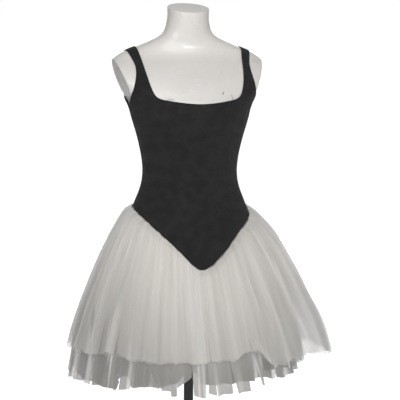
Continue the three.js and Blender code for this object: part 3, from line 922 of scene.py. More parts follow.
# %% Tulle surfaces
GATHERS = 30
GATHER_DEPTH = 10
TOP_FLARE = [
    # depth below the seam, left, right, front, back
    (0, 0, 0, 0, 0),
    (12, 18, 22, 13, 19),
    (70, 52, 76, 38, 58),
    (145, 87, 121, 76, 100),
    (210, 113, 152, 108, 132),
    (270, 135, 184, 134, 158),
    (352, 160, 212, 165, 185),
    (440, 180, 238, 190, 205),
]
UNDER_FLARE = [
    (0, 0, 0, 0, 0),
    (12, 12, 13, 5, 12),
    (70, 46, 48, 29, 46),
    (145, 80, 84, 64, 84),
    (210, 104, 106, 94, 110),
    (270, 126, 122, 118, 132),
    (352, 149, 134, 142, 154),
    (440, 161, 140, 156, 168),
]
BIG_FOLDS = [
    # turn and depth at the top, turn and depth at the end, half width in degrees, height
    (-59, 105, -61.5, 225, 1.5, -5.5),
    (-63.5, 55, -65, 110, 1.4, -3.5),
    (-75.8, 245, -68, 345, 1.1, -5),
    (-63.8, 250, -63.2, 340, 1.0, -4.5),
    (-70, 120, -72, 330, 3.5, 4),
    (-48, 60, -50, 290, 4.0, 4.5),
    (-35.8, 160, -35.2, 210, 0.7, 2.6),
    (-30, 90, -29, 270, 3.0, -3.5),
    (-25, 45, -18.5, 118, 2.6, -4.5),
    (-10, 110, -9, 250, 3.5, 3.5),
    (4, 72, -0.2, 235, 0.9, -4.5),
    (13, 90, 15, 230, 4.0, 4.5),
    (25, 100, 23.5, 240, 1.6, -5),
    (34.2, 88, 36.2, 185, 1.2, -6.5),
    (38, 60, 41, 250, 3.0, 4),
    (56, 58, 55.2, 95, 1.2, -4),
    (50.2, 120, 56.8, 300, 3.2, 7),
    (60, 130, 65, 320, 3.5, -6),
    (72, 60, 77, 340, 4.0, 5),
    (88, 90, 92, 330, 3.0, -5),
    (101, 50, 104, 350, 4.5, 6),
    (118, 110, 115, 300, 2.4, -6),
    (131, 70, 134, 340, 4.0, 5),
    (146, 140, 143, 330, 2.0, -5.5),
    (158, 50, 161, 330, 4.2, 5.5),
    (172, 120, 170, 310, 2.2, -6),
    (184, 80, 186, 340, 3.6, 5),
    (197, 60, 195, 260, 1.8, -5),
    (209, 100, 212, 330, 4.0, 6),
    (224, 130, 221, 340, 2.6, -6),
    (238, 60, 241, 320, 3.8, 5),
    (252, 110, 249, 330, 2.2, -5.5),
    (266, 70, 268, 340, 3.4, 4.5),
    (276, 150, 274, 330, 1.6, -4.5),
]


FINE_FADE = 48.0
FOLDS_FULL = 70.0
BROAD_SHARE = 0.75
BROAD_FULL = 350.0
BELOW_SEAM = 0.2
INSET_FULL = 90.0
LIP_DEPTH = 14.0
POINT_LIP = 3.4
ROW_SPACING = 1.12
CLOTH_PER_DEGREE = 2.6 / 360.0


def gather(turn):
    """The broad folds, from -1 in a valley to 1 on a crest."""
    drift = 0.35 * wave(turn * 3 + 40) + 0.25 * wave(turn * 7 - 20)
    height = 0.8 + 0.2 * wave(turn * 5 + 10)
    return height * np.sin(np.radians(turn) * GATHERS + drift)


def small_folds(turn, depth, phase):
    """Fine gathers at the seam that fade and merge on the way down, in millimetres."""
    wander = 0.6 * wave(turn * 11 + 20) + 0.4 * wave(turn * 4 + 50)
    fine = np.sin(np.radians(turn) * 168 + 2.2 * wander)
    near = np.exp(-np.maximum(depth, 0) / FINE_FADE) * np.clip(depth / 6.0, 0.2, 1)
    own = 0.6 * wave(turn * 13 + phase) + 0.4 * wave(turn * 5 + 2 * phase)
    middle = np.sin(np.radians(turn) * 61 + 2.6 * own + phase)
    narrow = np.sin(np.radians(turn) * 113 + 3.1 * own - phase)
    run = np.clip(depth / FOLDS_FULL, 0, 1)
    uneven = 0.5 + 0.5 * wave(turn * 9 + phase + depth * 0.25)
    patch = 0.5 + 0.5 * wave(turn * 15 - phase - depth * 0.4)
    return 0.8 * near * fine + run * (1.35 * uneven * middle + 0.2 * patch * narrow)


def big_folds(turn, depth):
    """The listed folds, in millimetres."""
    total = np.zeros(np.broadcast(turn, depth).shape)
    for turn0, depth0, turn1, depth1, width, height in BIG_FOLDS:
        share = (depth - depth0) / (depth1 - depth0)
        centre = turn0 + (turn1 - turn0) * share
        apart = wrapped(turn - centre)
        past = np.maximum(np.abs(share - 0.5) - 0.3, 0) / 0.28
        spread = width * (0.75 + 0.5 * np.clip(share, 0, 1))
        total += height * np.exp(-((apart / spread) ** 2) - past**2)
    return total


def flared(flare, turn, depth):
    """How far a layer stands out from the seam, from its reach to the four sides."""
    ahead, aside = np.cos(np.radians(turn)), wave(turn)
    side = np.where(aside > 0, along(flare, 2, depth), along(flare, 1, depth))
    front = np.where(ahead > 0, along(flare, 3, depth), along(flare, 4, depth))
    return side * aside**2 + front * ahead**2


def tulle(flare, start, turn, depth, phase=0.0, inset_by=0.0):
    """Points of a layer at turns and depths below the seam."""
    z = sewn_seam(turn) - BELOW_SEAM
    normal = outward(bare, turn, z)
    foot = bare(turn, z) + normal * start
    out = flared(flare, turn, depth) - inset_by * np.clip(depth / INSET_FULL, 0, 1)
    fold = GATHER_DEPTH * (np.maximum(depth, 0) / BROAD_FULL) ** 0.85 * gather(turn)
    fold = BROAD_SHARE * fold + small_folds(turn, depth, phase) + big_folds(turn, depth)
    points = foot + unit(normal * np.array([1.0, 1.0, 0.0])) * (out + fold)[..., None]
    edge = 0.5 * wave(turn * 47 + 30) + 0.4 * wave(turn * 83 + phase)
    point = POINT_LIP * near_point(wrapped(turn), 5.0)
    lip = edge + 0.5 + point - normal[..., 2] * (start - JERSEY_FACE)
    points[..., 2] = foot[..., 2] - depth + lip * np.clip(1 - depth / LIP_DEPTH, 0, 1)
    return points


print("tulle at the hem:", np.round(tulle(TOP_FLARE, 5.0, np.array([0.0]), np.array([200.0])), 1).tolist())

# %% Hems and strips
TOP_HEM = [
    # turn, height
    (-180, -448), (-120, -442), (-100, -451), (-64, -447), (-55, -439), (-50, -449), (-41, -455),
    (-19, -461), (-8, -463), (6, -462), (17, -454), (23, -440), (27, -441), (31, -462),
    (35, -475), (43, -466), (50, -468), (53, -456), (62, -460), (77, -474), (95, -480),
    (130, -464), (180, -448),
]
UNDER_HEM = [
    (-180, -520), (-125, -522), (-106, -531), (-86, -529), (-70, -520), (31, -520), (35, -496), (56, -492),
    (80, -494), (100, -502), (125, -518), (180, -520),
]
INNER_HEM = [
    (-180, -515), (-90, -527), (-70, -532), (-56, -534), (-54, -506), (-49, -506), (-47, -524), (-38, -522),
    (-29, -523), (-21, -512), (-15, -492), (-10, -492), (-6, -520), (12, -524), (22, -516), (31, -511),
    (44, -520), (60, -523), (82, -520), (110, -512), (180, -515),
]
# Strips as they show at the front. The first column is the turn where the slit at the strip's left
# begins, the second the slit's length; then the strip's left and right turns at the hem, how far its
# left and right corners stand off the hem line, and how far it lifts outwards
UNDER_STRIPS = [
    (-92, 60, -92, -76.4, 0, -1, 3),
    (-75.4, 92, -75.8, -68.2, -6, -4, 5),
    (-68.8, 156, -67.2, -63.6, -5, -7, 6),
    (-60, 90, -57.6, -54.4, -5, -7, 7),
    (-52, 84, -52.6, -46, -9, -5, 8),
    (-43.4, 66, -43, -38.4, 1, -2, 3),
    (-38, 60, -31.4, -30.6, 1, 1, 3),
    (-35.4, 62, -28.8, -24.3, -7, -8, 4),
    (-24.5, 14, -24.2, -21, -20, -20, 0),
    (-21, 20, -20.8, -12.3, -1, 25, 2),
    (-12, 66, -11.4, -3.9, -18, -28, 5),
    (1, 215, -1.9, 3.1, -19, -22, 7),
    (3.6, 48, 4.3, 12.6, -29, -17, 2),
    (13, 76, 14.8, 22.1, -19, -17, 8),
    (22.6, 30, 22.4, 25, 6, 4, 1),
    (25.4, 92, 28.7, 31, -3, -7, 7),
    (31, 60, 34, 44, 4, 0, -4),
]
TOP_STRIPS = [
    (-100, 14, -99.8, -65.4, 0, 0, 0),
    (-65, 88, -64.2, -55.2, 0, 1, 0),
    (-54.4, 66, -54.0, -41.4, 0, 0, 1),
    (-41, 10, -41, -19.6, 0, 0, 0),
    (-19.2, 8, -19.1, 0.2, 0, 0, 1),
    (0.8, 150, 1.0, 23.6, 0, 0, 0),
    (24, 36, 24.5, 50.6, 0, 0, 3),
    (51, 20, 51.4, 76, 0, 0, 1),
]
REACH = 250.0 * math.pi / 180.0


def seeded_strips(seed, first, last, width, slit, gap, end, lean):
    """Strips of uneven width for a stretch of hem that doesn't show, in the same columns."""
    rng = np.random.default_rng(seed)
    rows, turn = [], first
    while turn < last - width * 0.5:
        wide = min(width * rng.uniform(0.5, 1.5), last - turn)
        shift = rng.uniform(-lean, lean)
        space = gap * rng.uniform(0.15, 1.0)
        drop, slant = rng.uniform(-end, end), rng.uniform(-end, end) * 0.5
        low = turn + (shift + space / 2) / REACH
        high = turn + wide + (shift - space / 2) / REACH
        rows.append(
            (turn, slit * rng.uniform(0.5, 1.3), low, high, drop - slant, drop + slant, rng.uniform(-4, 7))
        )
        turn += wide
    return rows


def hem_height(hem_rows, turn, phase):
    """The uneven hem of a layer."""
    at = wrapped(turn)
    ragged = wave(at * 17 + phase) + wave(at * 41 + 2 * phase)
    torn = wave(at * 103 - phase) * wave(at * 29 + phase)
    size = 1.0 if hem_rows is TOP_HEM else 0.0
    return along(hem_rows, 1, at) + (1.0 + size) * ragged + 1.5 * size * torn


def between(low, high, share):
    """A value part of the way from one to another."""
    return low + (high - low) * share


def make_layer(name, flare, start, hem_rows, strips, phase, rows, cell, inset_by):
    """One layer of net: a grid carried to its place, with its hem parted between the strips."""
    table = np.array(sorted(strips), dtype=float)
    slit_at, slit_long, low_turn, high_turn, low_corner, high_corner, lift_by = table.T
    edges = np.append(slit_at, slit_at[0] + 360.0)
    counts = np.maximum(np.rint((edges[1:] - edges[:-1]) / cell).astype(int), 3)
    columns = int(counts.sum() + len(counts) - 1)
    owner = np.concatenate([np.full(n + 1, i) for i, n in enumerate(counts)])
    share = np.concatenate([np.linspace(0, 1, n + 1) for n in counts])
    made, column, row = new_grid(name, columns, rows)
    strip, f = owner[column], share[column]
    after = (strip + 1) % len(table)
    above = between(edges[strip], edges[strip + 1], f)
    below = between(low_turn[strip], high_turn[strip], f)
    corner = between(low_corner[strip], high_corner[strip], f)
    at = np.clip(1 - row / rows, 0, 1) ** ROW_SPACING
    whole = sewn_seam(above) - hem_height(hem_rows, above, phase)
    depth = whole * at
    slits = slit_long[strip], slit_long[after]
    left, right = (np.clip((depth - (whole - slit)) / slit, 0, 1) for slit in slits)
    loose = (1 - f) * left + f * right
    turn = above + (below - above) * loose**1.25
    reach = sewn_seam(turn) - hem_height(hem_rows, turn, phase) - corner
    depth = depth + (reach - whole) * loose
    points = tulle(flare, start, turn, depth, phase, inset_by)
    curl = 2.6 * np.sin(math.pi * f) * np.sin(strip * 2.4) + 2.0 * (f - 0.5) * np.sin(strip * 1.7)
    lift = lift_by[strip] * loose**1.5 + loose * curl
    carry(made, points + unit(points * np.array([1.0, 1.4, 0.0])) * lift[:, None])
    lay_map(made, above * CLOTH_PER_DEGREE, whole * at * MM * ROW_SPACING)
    fall = made.data.attributes.new("fall", "FLOAT", "POINT")
    fall.data.foreach_set("value", whole * at * MM)
    lay_calm(made, flare, start, turn, depth)
    part_strips(made, column, {c for c in range(columns) if owner[c] != owner[c + 1]})
    smooth(made, 180)
    return made


def unfolded(flare, start, turn, depth):
    """Points of a layer that hangs with no folds, below a level seam at the hips."""
    out = flared(flare, turn, depth) + start
    hips = bare(turn, np.full(turn.shape, -120.0)) * [1, 1, 0]
    return hips + np.stack([out * wave(turn), -out * np.cos(np.radians(turn)), -depth], axis=-1)


def lay_calm(made, flare, start, turn, depth):
    """The direction each point would face if the net hung with no folds."""
    across = unfolded(flare, start, turn + 1, depth) - unfolded(flare, start, turn - 1, depth)
    down = unfolded(flare, start, turn, depth + 2) - unfolded(flare, start, turn, np.maximum(depth - 2, 0))
    calm = unit(np.cross(down, across))
    away = np.stack([wave(turn), -np.cos(np.radians(turn)), 0 * turn], axis=1)
    outside = np.sign((calm * away).sum(1))
    layer = made.data.attributes.new("calm", "FLOAT_VECTOR", "POINT")
    layer.data.foreach_set("vector", (calm * outside[:, None]).ravel())


def part_strips(made, column, breaks):
    """Deletes the cells between strips, then joins the strips above their slits and at the back."""
    mesh = bmesh.new()
    mesh.from_mesh(made.data)
    doomed = []
    for face in mesh.faces:
        spots = {int(column[v.index]) for v in face.verts}
        if len(spots) == 2 and min(spots) in breaks:
            doomed.append(face)
    bmesh.ops.delete(mesh, geom=doomed, context="FACES")
    bmesh.ops.remove_doubles(mesh, verts=mesh.verts, dist=2e-5)
    bmesh.ops.recalc_face_normals(mesh, faces=mesh.faces)
    mesh.to_mesh(made.data)
    mesh.free()


UNDER_START = JERSEY_FACE + SEAM_GAP + TULLE_WALL / 2
TOP_START = UNDER_START + TULLE_WALL + LAYER_GAP
top_rows = TOP_STRIPS + seeded_strips(11, 76.5, 259.5, 22, 20, 6, 5, 3)
second_rows = seeded_strips(21, -170, 189, 26, 24, 8, 6, 3)
under_rows = UNDER_STRIPS + seeded_strips(5, 44.5, 267.6, 8.5, 72, 10, 9, 9)
inner_rows = seeded_strips(3, -179, 180, 50, 12, 1, 2, 1)
LAYERS = [
    # name, flare, start, hem, strips, phase, rows, column in degrees, how far it is set in
    ("tulle_top", TOP_FLARE, TOP_START, TOP_HEM, top_rows, 30, 46, 0.44, 0.0),
    ("tulle_top_second_ply", TOP_FLARE, TOP_START - 1.2, TOP_HEM, second_rows, 155, 40, 0.6, 8.0),
    ("tulle_under", UNDER_FLARE, UNDER_START, UNDER_HEM, under_rows, 75, 54, 0.5, 0.0),
    ("tulle_inner", UNDER_FLARE, UNDER_START - 0.4, INNER_HEM, inner_rows, 200, 40, 0.8, 16.0),
]
NETS = [make_layer(*row) for row in LAYERS]
STANDS_FOR = {
    "tulle_top": ("tulle_top_front", "tulle_top_back"),
    "tulle_under": ("tulle_under_front", "tulle_under_back"),
}
for net in NETS:
    finish(net, "ivory_tulle", *STANDS_FOR.get(net.name, ()))
print("net triangles:", {o.name: triangles(o) for o in NETS})

# %% [markdown]
# ## Shared surface effects
# Four node groups hold what the materials share: even knit ribs, the crossing threads of net, soft
# streaks and blotches, and small spots of damage. Each gives only heights, masks or values, and the
# material decides what they do. Groups and materials are both trees of nodes, so one small class
# holds the calls that build either.

# %% Node graph
class Graph:
    """A tree of shader nodes, with a short call for each kind of node."""

    def __init__(self, tree):
        self.tree = tree

    def set(self, socket, value):
        """Links a socket to another, or gives it a number, a vector or a colour."""
        if isinstance(value, bpy.types.NodeSocket):
            self.tree.links.new(value, socket)
        else:
            socket.default_value = (*value, 1) if socket.type == "RGBA" else value

    def node(self, kind, **settings):
        """A node of a kind, with its settings."""
        made = self.tree.nodes.new("ShaderNode" + kind)
        for name, value in settings.items():
            setattr(made, name, value)
        return made

    def filled(self, node, *values):
        """A node whose first sockets take the values."""
        for socket, value in zip(node.inputs, values):
            self.set(socket, value)
        return node.outputs

    def math(self, operation, *values):
        return self.filled(self.node("Math", operation=operation), *values)["Value"]

    def plus(self, first, second):
        return self.math("ADD", first, second)

    def times(self, first, second):
        return self.math("MULTIPLY", first, second)

    def vector(self, operation, *values):
        return self.filled(self.node("VectorMath", operation=operation), *values)

    def blend(self, factor, first, second):
        """Two shaders mixed by a factor."""
        return self.filled(self.node("MixShader"), factor, first, second)["Shader"]

    def split(self, vector):
        """The three parts of a vector."""
        return self.filled(self.node("SeparateXYZ"), vector)

    def ranged(self, value, low, high, to_low=0.0, to_high=1.0):
        """A value carried smoothly from one range to another."""
        node = self.node("MapRange", interpolation_type="SMOOTHSTEP")
        return self.filled(node, value, low, high, to_low, to_high)["Result"]

    def noise(self, vector, scale, detail=3.0, stretch=None):
        """Soft noise, stretched along the axes if asked."""
        if stretch:
            mapping = self.node("Mapping")
            self.set(mapping.inputs["Vector"], vector)
            self.set(mapping.inputs["Scale"], stretch)
            vector = mapping.outputs["Vector"]
        node = self.node("TexNoise")
        for name, value in (("Vector", vector), ("Scale", scale), ("Detail", detail)):
            self.set(node.inputs[name], value)
        return node.outputs["Fac"]

    def mix(self, factor, low, high, blend_type="MIX"):
        """Two colours mixed by a factor."""
        node = self.node("Mix", data_type="RGBA", blend_type=blend_type)
        for slot, value in ((0, factor), (6, low), (7, high)):
            self.set(node.inputs[slot], value)
        return node.outputs[2]

    def bump(self, height, distance, strength=1.0, below=None):
        """A normal tilted by a height, over another one if given."""
        node = self.node("Bump")
        for name, value in (("Height", height), ("Distance", distance), ("Strength", strength)):
            self.set(node.inputs[name], value)
        if below:
            self.set(node.inputs["Normal"], below)
        return node.outputs["Normal"]

    def group(self, tree, vector, **values):
        """A shared effect at a place, with its values."""
        node = self.node("Group", node_tree=tree)
        for name, value in {"Vector": vector, **values}.items():
            self.set(node.inputs[name], value)
        return node.outputs


# %% Node groups
def new_group(name, inputs, outputs):
    """An empty group with named sockets, its starting values, and a place to build in."""
    tree = bpy.data.node_groups.new(name, "ShaderNodeTree")
    for socket, value in {"Vector": None, **inputs}.items():
        kind = "NodeSocketFloat" if isinstance(value, float) else "NodeSocketVector"
        made = tree.interface.new_socket(name=socket, in_out="INPUT", socket_type=kind)
        if value is not None:
            made.default_value = value
    for socket in outputs:
        tree.interface.new_socket(name=socket, in_out="OUTPUT", socket_type="NodeSocketFloat")
    return Graph(tree), tree.nodes.new("NodeGroupInput").outputs, tree.nodes.new("NodeGroupOutput").inputs


def knit_group():
    """Ribs of a fine knit along one direction, crossed by its rows."""
    made, given, out = new_group("knit_ribs", {"Pitch": 0.0008}, ["Height"])
    across, up, _ = made.split(given["Vector"])
    u, v = (made.math("DIVIDE", part, given["Pitch"]) for part in (across, up))
    rib = made.math("ABSOLUTE", made.math("SINE", made.times(u, math.pi)))
    row = made.math("SINE", made.times(made.plus(v, rib), 2 * math.pi))
    fluff = made.noise(given["Vector"], 900.0, 2.0)
    made.set(out["Height"], made.plus(made.plus(rib, made.times(row, 0.35)), made.times(fluff, 0.5)))
    return made.tree


def net_group():
    """Two sets of slanting threads that cross in a net with open holes."""
    made, given, out = new_group("net_threads", {"Pitch": 0.0016, "Thread": 0.45}, ["Thread", "Height"])
    across, up, _ = made.split(given["Vector"])
    u = made.math("DIVIDE", across, given["Pitch"])
    v = made.times(made.math("DIVIDE", up, given["Pitch"]), 0.58)
    lines = [
        made.math("ABSOLUTE", made.math("SINE", made.times(made.math(operation, u, v), math.pi)))
        for operation in ("ADD", "SUBTRACT")
    ]
    nearest = made.math("MINIMUM", *lines)
    made.set(out["Thread"], made.ranged(made.math("SUBTRACT", given["Thread"], nearest), -0.12, 0.12))
    made.set(out["Height"], made.math("SUBTRACT", 1.0, nearest))
    return made.tree


def streak_group():
    """Long soft streaks and broad blotches."""
    inputs = {"Streaks": 60.0, "Blotches": 6.0}
    made, given, out = new_group("streaks_and_blotches", inputs, ["Streak", "Blotch"])
    streak = made.noise(given["Vector"], given["Streaks"], 3.0, (1.0, 0.06, 1.0))
    blotch = made.noise(given["Vector"], given["Blotches"], 4.0)
    made.set(out["Streak"], made.ranged(streak, 0.3, 0.7))
    made.set(out["Blotch"], made.ranged(blotch, 0.3, 0.7))
    return made.tree


def spot_group():
    """A ragged spot at a place, 1 inside it."""
    inputs = {"Place": (0, 0, 0), "Stretch": (1, 1, 1), "Radius": 0.002}
    made, given, out = new_group("ragged_spot", inputs, ["Mask"])
    apart = made.vector("SUBTRACT", given["Vector"], given["Place"])["Vector"]
    scaled = made.vector("MULTIPLY", apart, given["Stretch"])["Vector"]
    ragged = made.times(made.noise(given["Vector"], 900.0), 0.0016)
    far = made.plus(made.vector("LENGTH", scaled)["Value"], ragged)
    made.set(out["Mask"], made.ranged(made.math("DIVIDE", far, given["Radius"]), 0.8, 1.3, 1.0, 0.0))
    return made.tree


KNIT, NET, STREAKS, SPOT = knit_group(), net_group(), streak_group(), spot_group()
print("groups:", [group.name for group in (KNIT, NET, STREAKS, SPOT)])

# %% [markdown]
# ## Materials
# The form is glossy moulded plastic with a few scuffs and two chips, and a duller cut face at the neck.
# Its cut faces at the arms are darkened with painted shade. The jersey is matte and nearly black, with
# fine ribs and a little lint. The pole is satin black paint.

# %% Form, jersey and metal
CHIPS = [
    # distance from the middle and height, stretch, radius
    (61.4, 202.4, (1.3, 1.0, 0.9), 0.0031),
    (63.4, 205.6, (1.4, 1.0, 0.9), 0.0027),
]
NECK_FACE = (1.09, 1.10)
ARM_FACE_FOOT = (0.872, 0.878)
ARM_FACE_TOP = (1.0, 1.01)
FLOOR_GLOW = 0.8


class Surface(Graph):
    """A material with one Principled shader, which reads the object's place or the cloth's own map."""

    def __init__(self, name, colour, roughness):
        self.material = bpy.data.materials.new(name)
        self.material.use_nodes = True
        super().__init__(self.material.node_tree)
        self.shader = self.tree.nodes["Principled BSDF"]
        self.feed("Base Color", colour)
        self.feed("Roughness", roughness)
        coordinates = self.node("TexCoord").outputs
        self.place, self.cloth = coordinates["Object"], coordinates["UV"]

    def feed(self, socket, value):
        """Links or sets one socket of the shader."""
        self.set(self.shader.inputs[socket], value)


def gloss_plastic():
    """White moulded plastic."""
    made = Surface("white_gloss_plastic", (0.7, 0.69, 0.67), 0.24)
    soft = made.group(STREAKS, made.place, Streaks=26.0, Blotches=7.0)
    colour = made.mix(soft["Blotch"], (0.585, 0.57, 0.55), (0.62, 0.608, 0.592))
    scuffs = made.ranged(made.noise(made.place, 46.0, 5.0), 0.62, 0.74, 0.0, 0.3)
    colour = made.mix(scuffs, colour, (0.53, 0.515, 0.495))
    for x, z, stretch, radius in CHIPS:
        at = bare(turn_at(x, z), z) * MM + np.array([0, 0, WAIST])
        chip = made.group(SPOT, made.place, Place=tuple(at), Stretch=stretch, Radius=radius)
        colour = made.mix(chip["Mask"], colour, (0.24, 0.21, 0.19))
    sideways, _, upwards = made.split(made.node("NewGeometry").outputs["Normal"])
    height = made.split(made.place)["Z"]
    neck_face = made.times(made.ranged(upwards, 0.8, 0.95), made.ranged(height, *NECK_FACE))
    colour = made.mix(made.times(neck_face, 0.8), colour, (0.70, 0.69, 0.675))
    # Painted shade: the arm faces, which face sideways, are darkened.
    arm_face_painted_shade = made.ranged(made.math("ABSOLUTE", sideways), 0.90, 0.93, 0.0, 0.9)
    arm_face_painted_shade = made.times(arm_face_painted_shade, made.ranged(height, *ARM_FACE_FOOT))
    arm_face_painted_shade = made.times(arm_face_painted_shade, made.ranged(height, *ARM_FACE_TOP, 1.0, 0.0))
    made.feed("Base Color", made.mix(arm_face_painted_shade, colour, (0.36, 0.352, 0.344)))
    rough = made.ranged(made.noise(made.place, 18.0, 5.0), 0.35, 0.7, 0.26, 0.38)
    made.feed("Roughness", made.plus(rough, made.times(neck_face, 0.4)))
    made.feed("Coat Weight", made.times(made.math("SUBTRACT", 1.0, neck_face), 0.12))
    made.feed("Coat Roughness", 0.12)
    made.feed("Normal", made.bump(made.noise(made.place, 9.0, 2.0), 0.0012, 0.5))
    return made.material


def knit_fabric():
    """Matte black stretch jersey with fine ribs, uneven dye and a little lint."""
    made = Surface("black_jersey_knit", (0.012, 0.012, 0.013), 0.82)
    ribs = made.group(KNIT, made.cloth, Pitch=0.0009)
    soft = made.group(STREAKS, made.place, Streaks=40.0, Blotches=11.0)
    colour = made.mix(soft["Blotch"], (0.0096, 0.0093, 0.0105), (0.0126, 0.0122, 0.0132))
    lint = made.ranged(made.noise(made.place, 420.0, 2.0), 0.74, 0.79, 0.0, 0.22)
    made.feed("Base Color", made.mix(lint, colour, (0.12, 0.115, 0.11)))
    made.feed("Sheen Weight", 0.05)
    made.feed("Sheen Roughness", 0.55)
    made.feed("Roughness", made.ranged(soft["Streak"], 0.0, 1.0, 0.72, 0.92))
    made.feed("Specular IOR Level", 0.22)
    fine = made.bump(ribs["Height"], 0.00022, 0.7)
    made.feed("Normal", made.bump(made.noise(made.place, 34.0, 3.0), 0.0016, 0.35, fine))
    return made.material


def painted_metal():
    """Satin black paint with dust and small rubbed places."""
    made = Surface("black_painted_metal", (0.018, 0.016, 0.016), 0.4)
    soft = made.group(STREAKS, made.place, Streaks=70.0, Blotches=16.0)
    colour = made.mix(soft["Blotch"], (0.014, 0.013, 0.013), (0.03, 0.028, 0.027))
    rubbed = made.ranged(made.noise(made.place, 130.0, 6.0), 0.66, 0.72, 0.0, 0.7)
    made.feed("Base Color", made.mix(rubbed, colour, (0.1, 0.095, 0.09)))
    made.feed("Roughness", made.ranged(soft["Blotch"], 0.0, 1.0, 0.34, 0.52))
    made.feed("Normal", made.bump(made.noise(made.place, 700.0, 2.0), 0.00008, 0.4))
    return made.material


def studio_floor():
    """A pale floor that the camera sees as bright as the sky."""
    made = Surface("pale_floor", (0.86, 0.86, 0.86), 0.85)
    made.feed("Emission Color", (1, 1, 1))
    made.feed("Emission Strength", made.times(made.node("LightPath").outputs["Is Camera Ray"], FLOOR_GLOW))
    return made.material


def wear(material, *pieces):
    """The pieces take one material."""
    for piece in pieces:
        piece.data.materials.clear()
        piece.data.materials.append(material)


wear(gloss_plastic(), dress_form)
wear(knit_fabric(), *jersey.values(), *STITCHES, *loops, *allowances)
wear(painted_metal(), stand_base, stand_pole)
wear(studio_floor(), floor)
print("materials:", sorted(m.name for m in bpy.data.materials if m.users))

# %% [markdown]
# ## Net
# Net is off-white where many gathers lie over one another. Towards its hem it darkens with painted
# shade, the under and inner layers are darker copies of it with painted shade, and it lightens with a
# painted highlight where it is seen at a grazing angle. Its threads cross, it is denser where it is
# gathered, and part of the light goes through it. Each pleat would catch the light like folded paper,
# but net is soft. So the material leans most of the way from the folded surface's direction to the one
# that the layer would have with no folds.

# %% Net
CALM = 0.8
THROUGH = 0.38
IVORY, HEM_PAINTED_SHADE = (0.71, 0.693, 0.667), (0.55, 0.54, 0.523)
# Painted shade: the under layer's colours are darker copies of the ivory.
UNDER_PAINTED_SHADE, SHADE = (0.54, 0.528, 0.51), (0.33, 0.322, 0.312)
# Painted shade: the inner layer is a much darker copy of the net.
INNER_PAINTED_SHADE, INNER_HEM_PAINTED_SHADE = (0.35, 0.342, 0.328), (0.205, 0.2, 0.19)


def calm_normal(made):
    """The true normal mixed with the direction of the net without its folds, on the side that is seen."""
    stored = made.node("Attribute", attribute_name="calm").outputs["Vector"]
    geometry = made.node("NewGeometry").outputs
    flip = made.math("SUBTRACT", 1.0, made.times(geometry["Backfacing"], 2.0))
    turned = made.vector("MULTIPLY", stored, flip)["Vector"]
    both = made.node("Mix", data_type="VECTOR")
    for slot, value in ((0, CALM), (4, geometry["Normal"]), (5, turned)):
        made.set(both.inputs[slot], value)
    return made.vector("NORMALIZE", both.outputs[1])["Vector"]


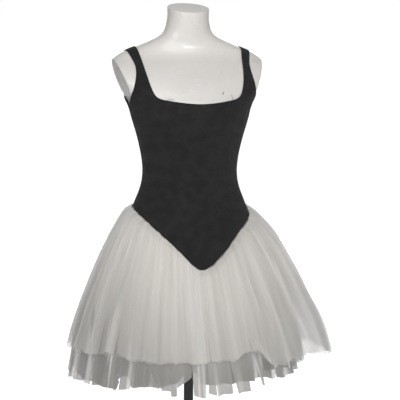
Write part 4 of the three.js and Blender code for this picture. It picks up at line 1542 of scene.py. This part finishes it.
def net_fabric(name, near, far, cover_near, cover_far, shade_from, shade_to):
    """Tulle: crossing threads, denser at the gathers, that let part of the light through."""
    made = Surface(name, near, 0.75)
    threads = made.group(NET, made.cloth, Pitch=0.0016, Thread=0.5)
    soft = made.group(STREAKS, made.cloth, Streaks=30.0, Blotches=5.0)
    depth = made.node("Attribute", attribute_name="fall").outputs["Fac"]
    # Painted shade: the colour darkens from the seam down towards the hem.
    colour = made.mix(made.ranged(depth, shade_from, shade_to), near, far)
    # Painted highlight: the colour lightens towards white where the net is seen at a grazing angle.
    slant = made.node("LayerWeight").outputs["Facing"]
    colour = made.mix(made.ranged(slant, 0.12, 0.72, 0.0, 0.9), colour, (0.98, 0.975, 0.965))
    shade = made.mix(soft["Streak"], (0.965, 0.962, 0.957), (1.03, 1.03, 1.03))
    colour = made.mix(1.0, colour, shade, "MULTIPLY")
    weave = made.plus(made.times(threads["Thread"], 0.36), 0.8)
    patch = made.plus(made.times(soft["Streak"], 0.16), 0.92)
    cover = made.times(made.times(made.ranged(depth, 0.0, 0.2, cover_near, cover_far), weave), patch)
    lit = made.math("SUBTRACT", 1.0, made.times(made.node("LightPath").outputs["Is Shadow Ray"], 0.5))
    cover = made.times(made.math("MINIMUM", cover, 1.0), lit)
    calm = calm_normal(made)
    made.feed("Base Color", colour)
    made.feed("Sheen Weight", 1.0)
    made.feed("Sheen Roughness", 0.45)
    made.feed("Normal", made.bump(threads["Height"], 0.0002, 0.3, calm))
    through = made.node("BsdfTranslucent")
    made.set(through.inputs["Color"], colour)
    made.set(through.inputs["Normal"], calm)
    cloth = made.blend(THROUGH, made.shader.outputs["BSDF"], through.outputs["BSDF"])
    hole = made.node("BsdfTransparent").outputs["BSDF"]
    made.set(made.tree.nodes["Material Output"].inputs["Surface"], made.blend(cover, hole, cloth))
    return made.material


NET_LOOKS = [
    # material, colour near the seam and at the hem, cover near the seam and lower, where the painted shade
    # darkens it
    ("ivory_net_top", IVORY, HEM_PAINTED_SHADE, 0.86, 0.6, 0.1, 0.36),
    ("ivory_net_second", IVORY, HEM_PAINTED_SHADE, 0.86, 0.5, 0.1, 0.36),
    ("ivory_net_under", UNDER_PAINTED_SHADE, SHADE, 0.9, 0.88, 0.12, 0.34),
    ("inner_net_painted_shade", INNER_PAINTED_SHADE, INNER_HEM_PAINTED_SHADE, 0.92, 0.94, 0.1, 0.3),
]
for net, look in zip(NETS, NET_LOOKS):
    wear(net_fabric(*look), net)
print("nets:", [net.active_material.name for net in NETS])

# %% [markdown]
# ## What is cloth, and how it was cut
# The flat size each piece of cloth had on the table is listed, and the area of each piece as made is
# printed. The bodice and the lower part are stretched over the form. The net strips were far wider
# than the seam and are gathered.

# %% Sheets
JERSEY_CUTS = {
    # node: width, length, area of the flat piece, in metres
    "bodice_front": (0.46, 0.54, 0.134),
    "bodice_back": (0.46, 0.47, 0.093),
    "brief_front": (0.33, 0.20, 0.037),
    "brief_back": (0.36, 0.27, 0.072),
    "gusset": (0.06, 0.09, 0.004),
}
NET_CUTS = {
    # piece: width, length at the back, area, as the pointed seam makes the front shorter
    "tulle_top": (2.10, 0.385, 0.68),
    "tulle_top_second_ply": (2.05, 0.385, 0.66),
    "tulle_under": (2.10, 0.440, 0.76),
    "tulle_inner": (1.95, 0.440, 0.70),
}


def declare():
    """Prints the area of each piece of cloth: half of each jersey wall's, and each net's whole."""
    for node, (wide, long, area) in JERSEY_CUTS.items():
        print(node, "half area", round(area_of(jersey[node]) / 2, 4))
    for net in NETS:
        wide, long, area = NET_CUTS[net.name]
        print(net.name, "area", round(area_of(net), 4))


declare()
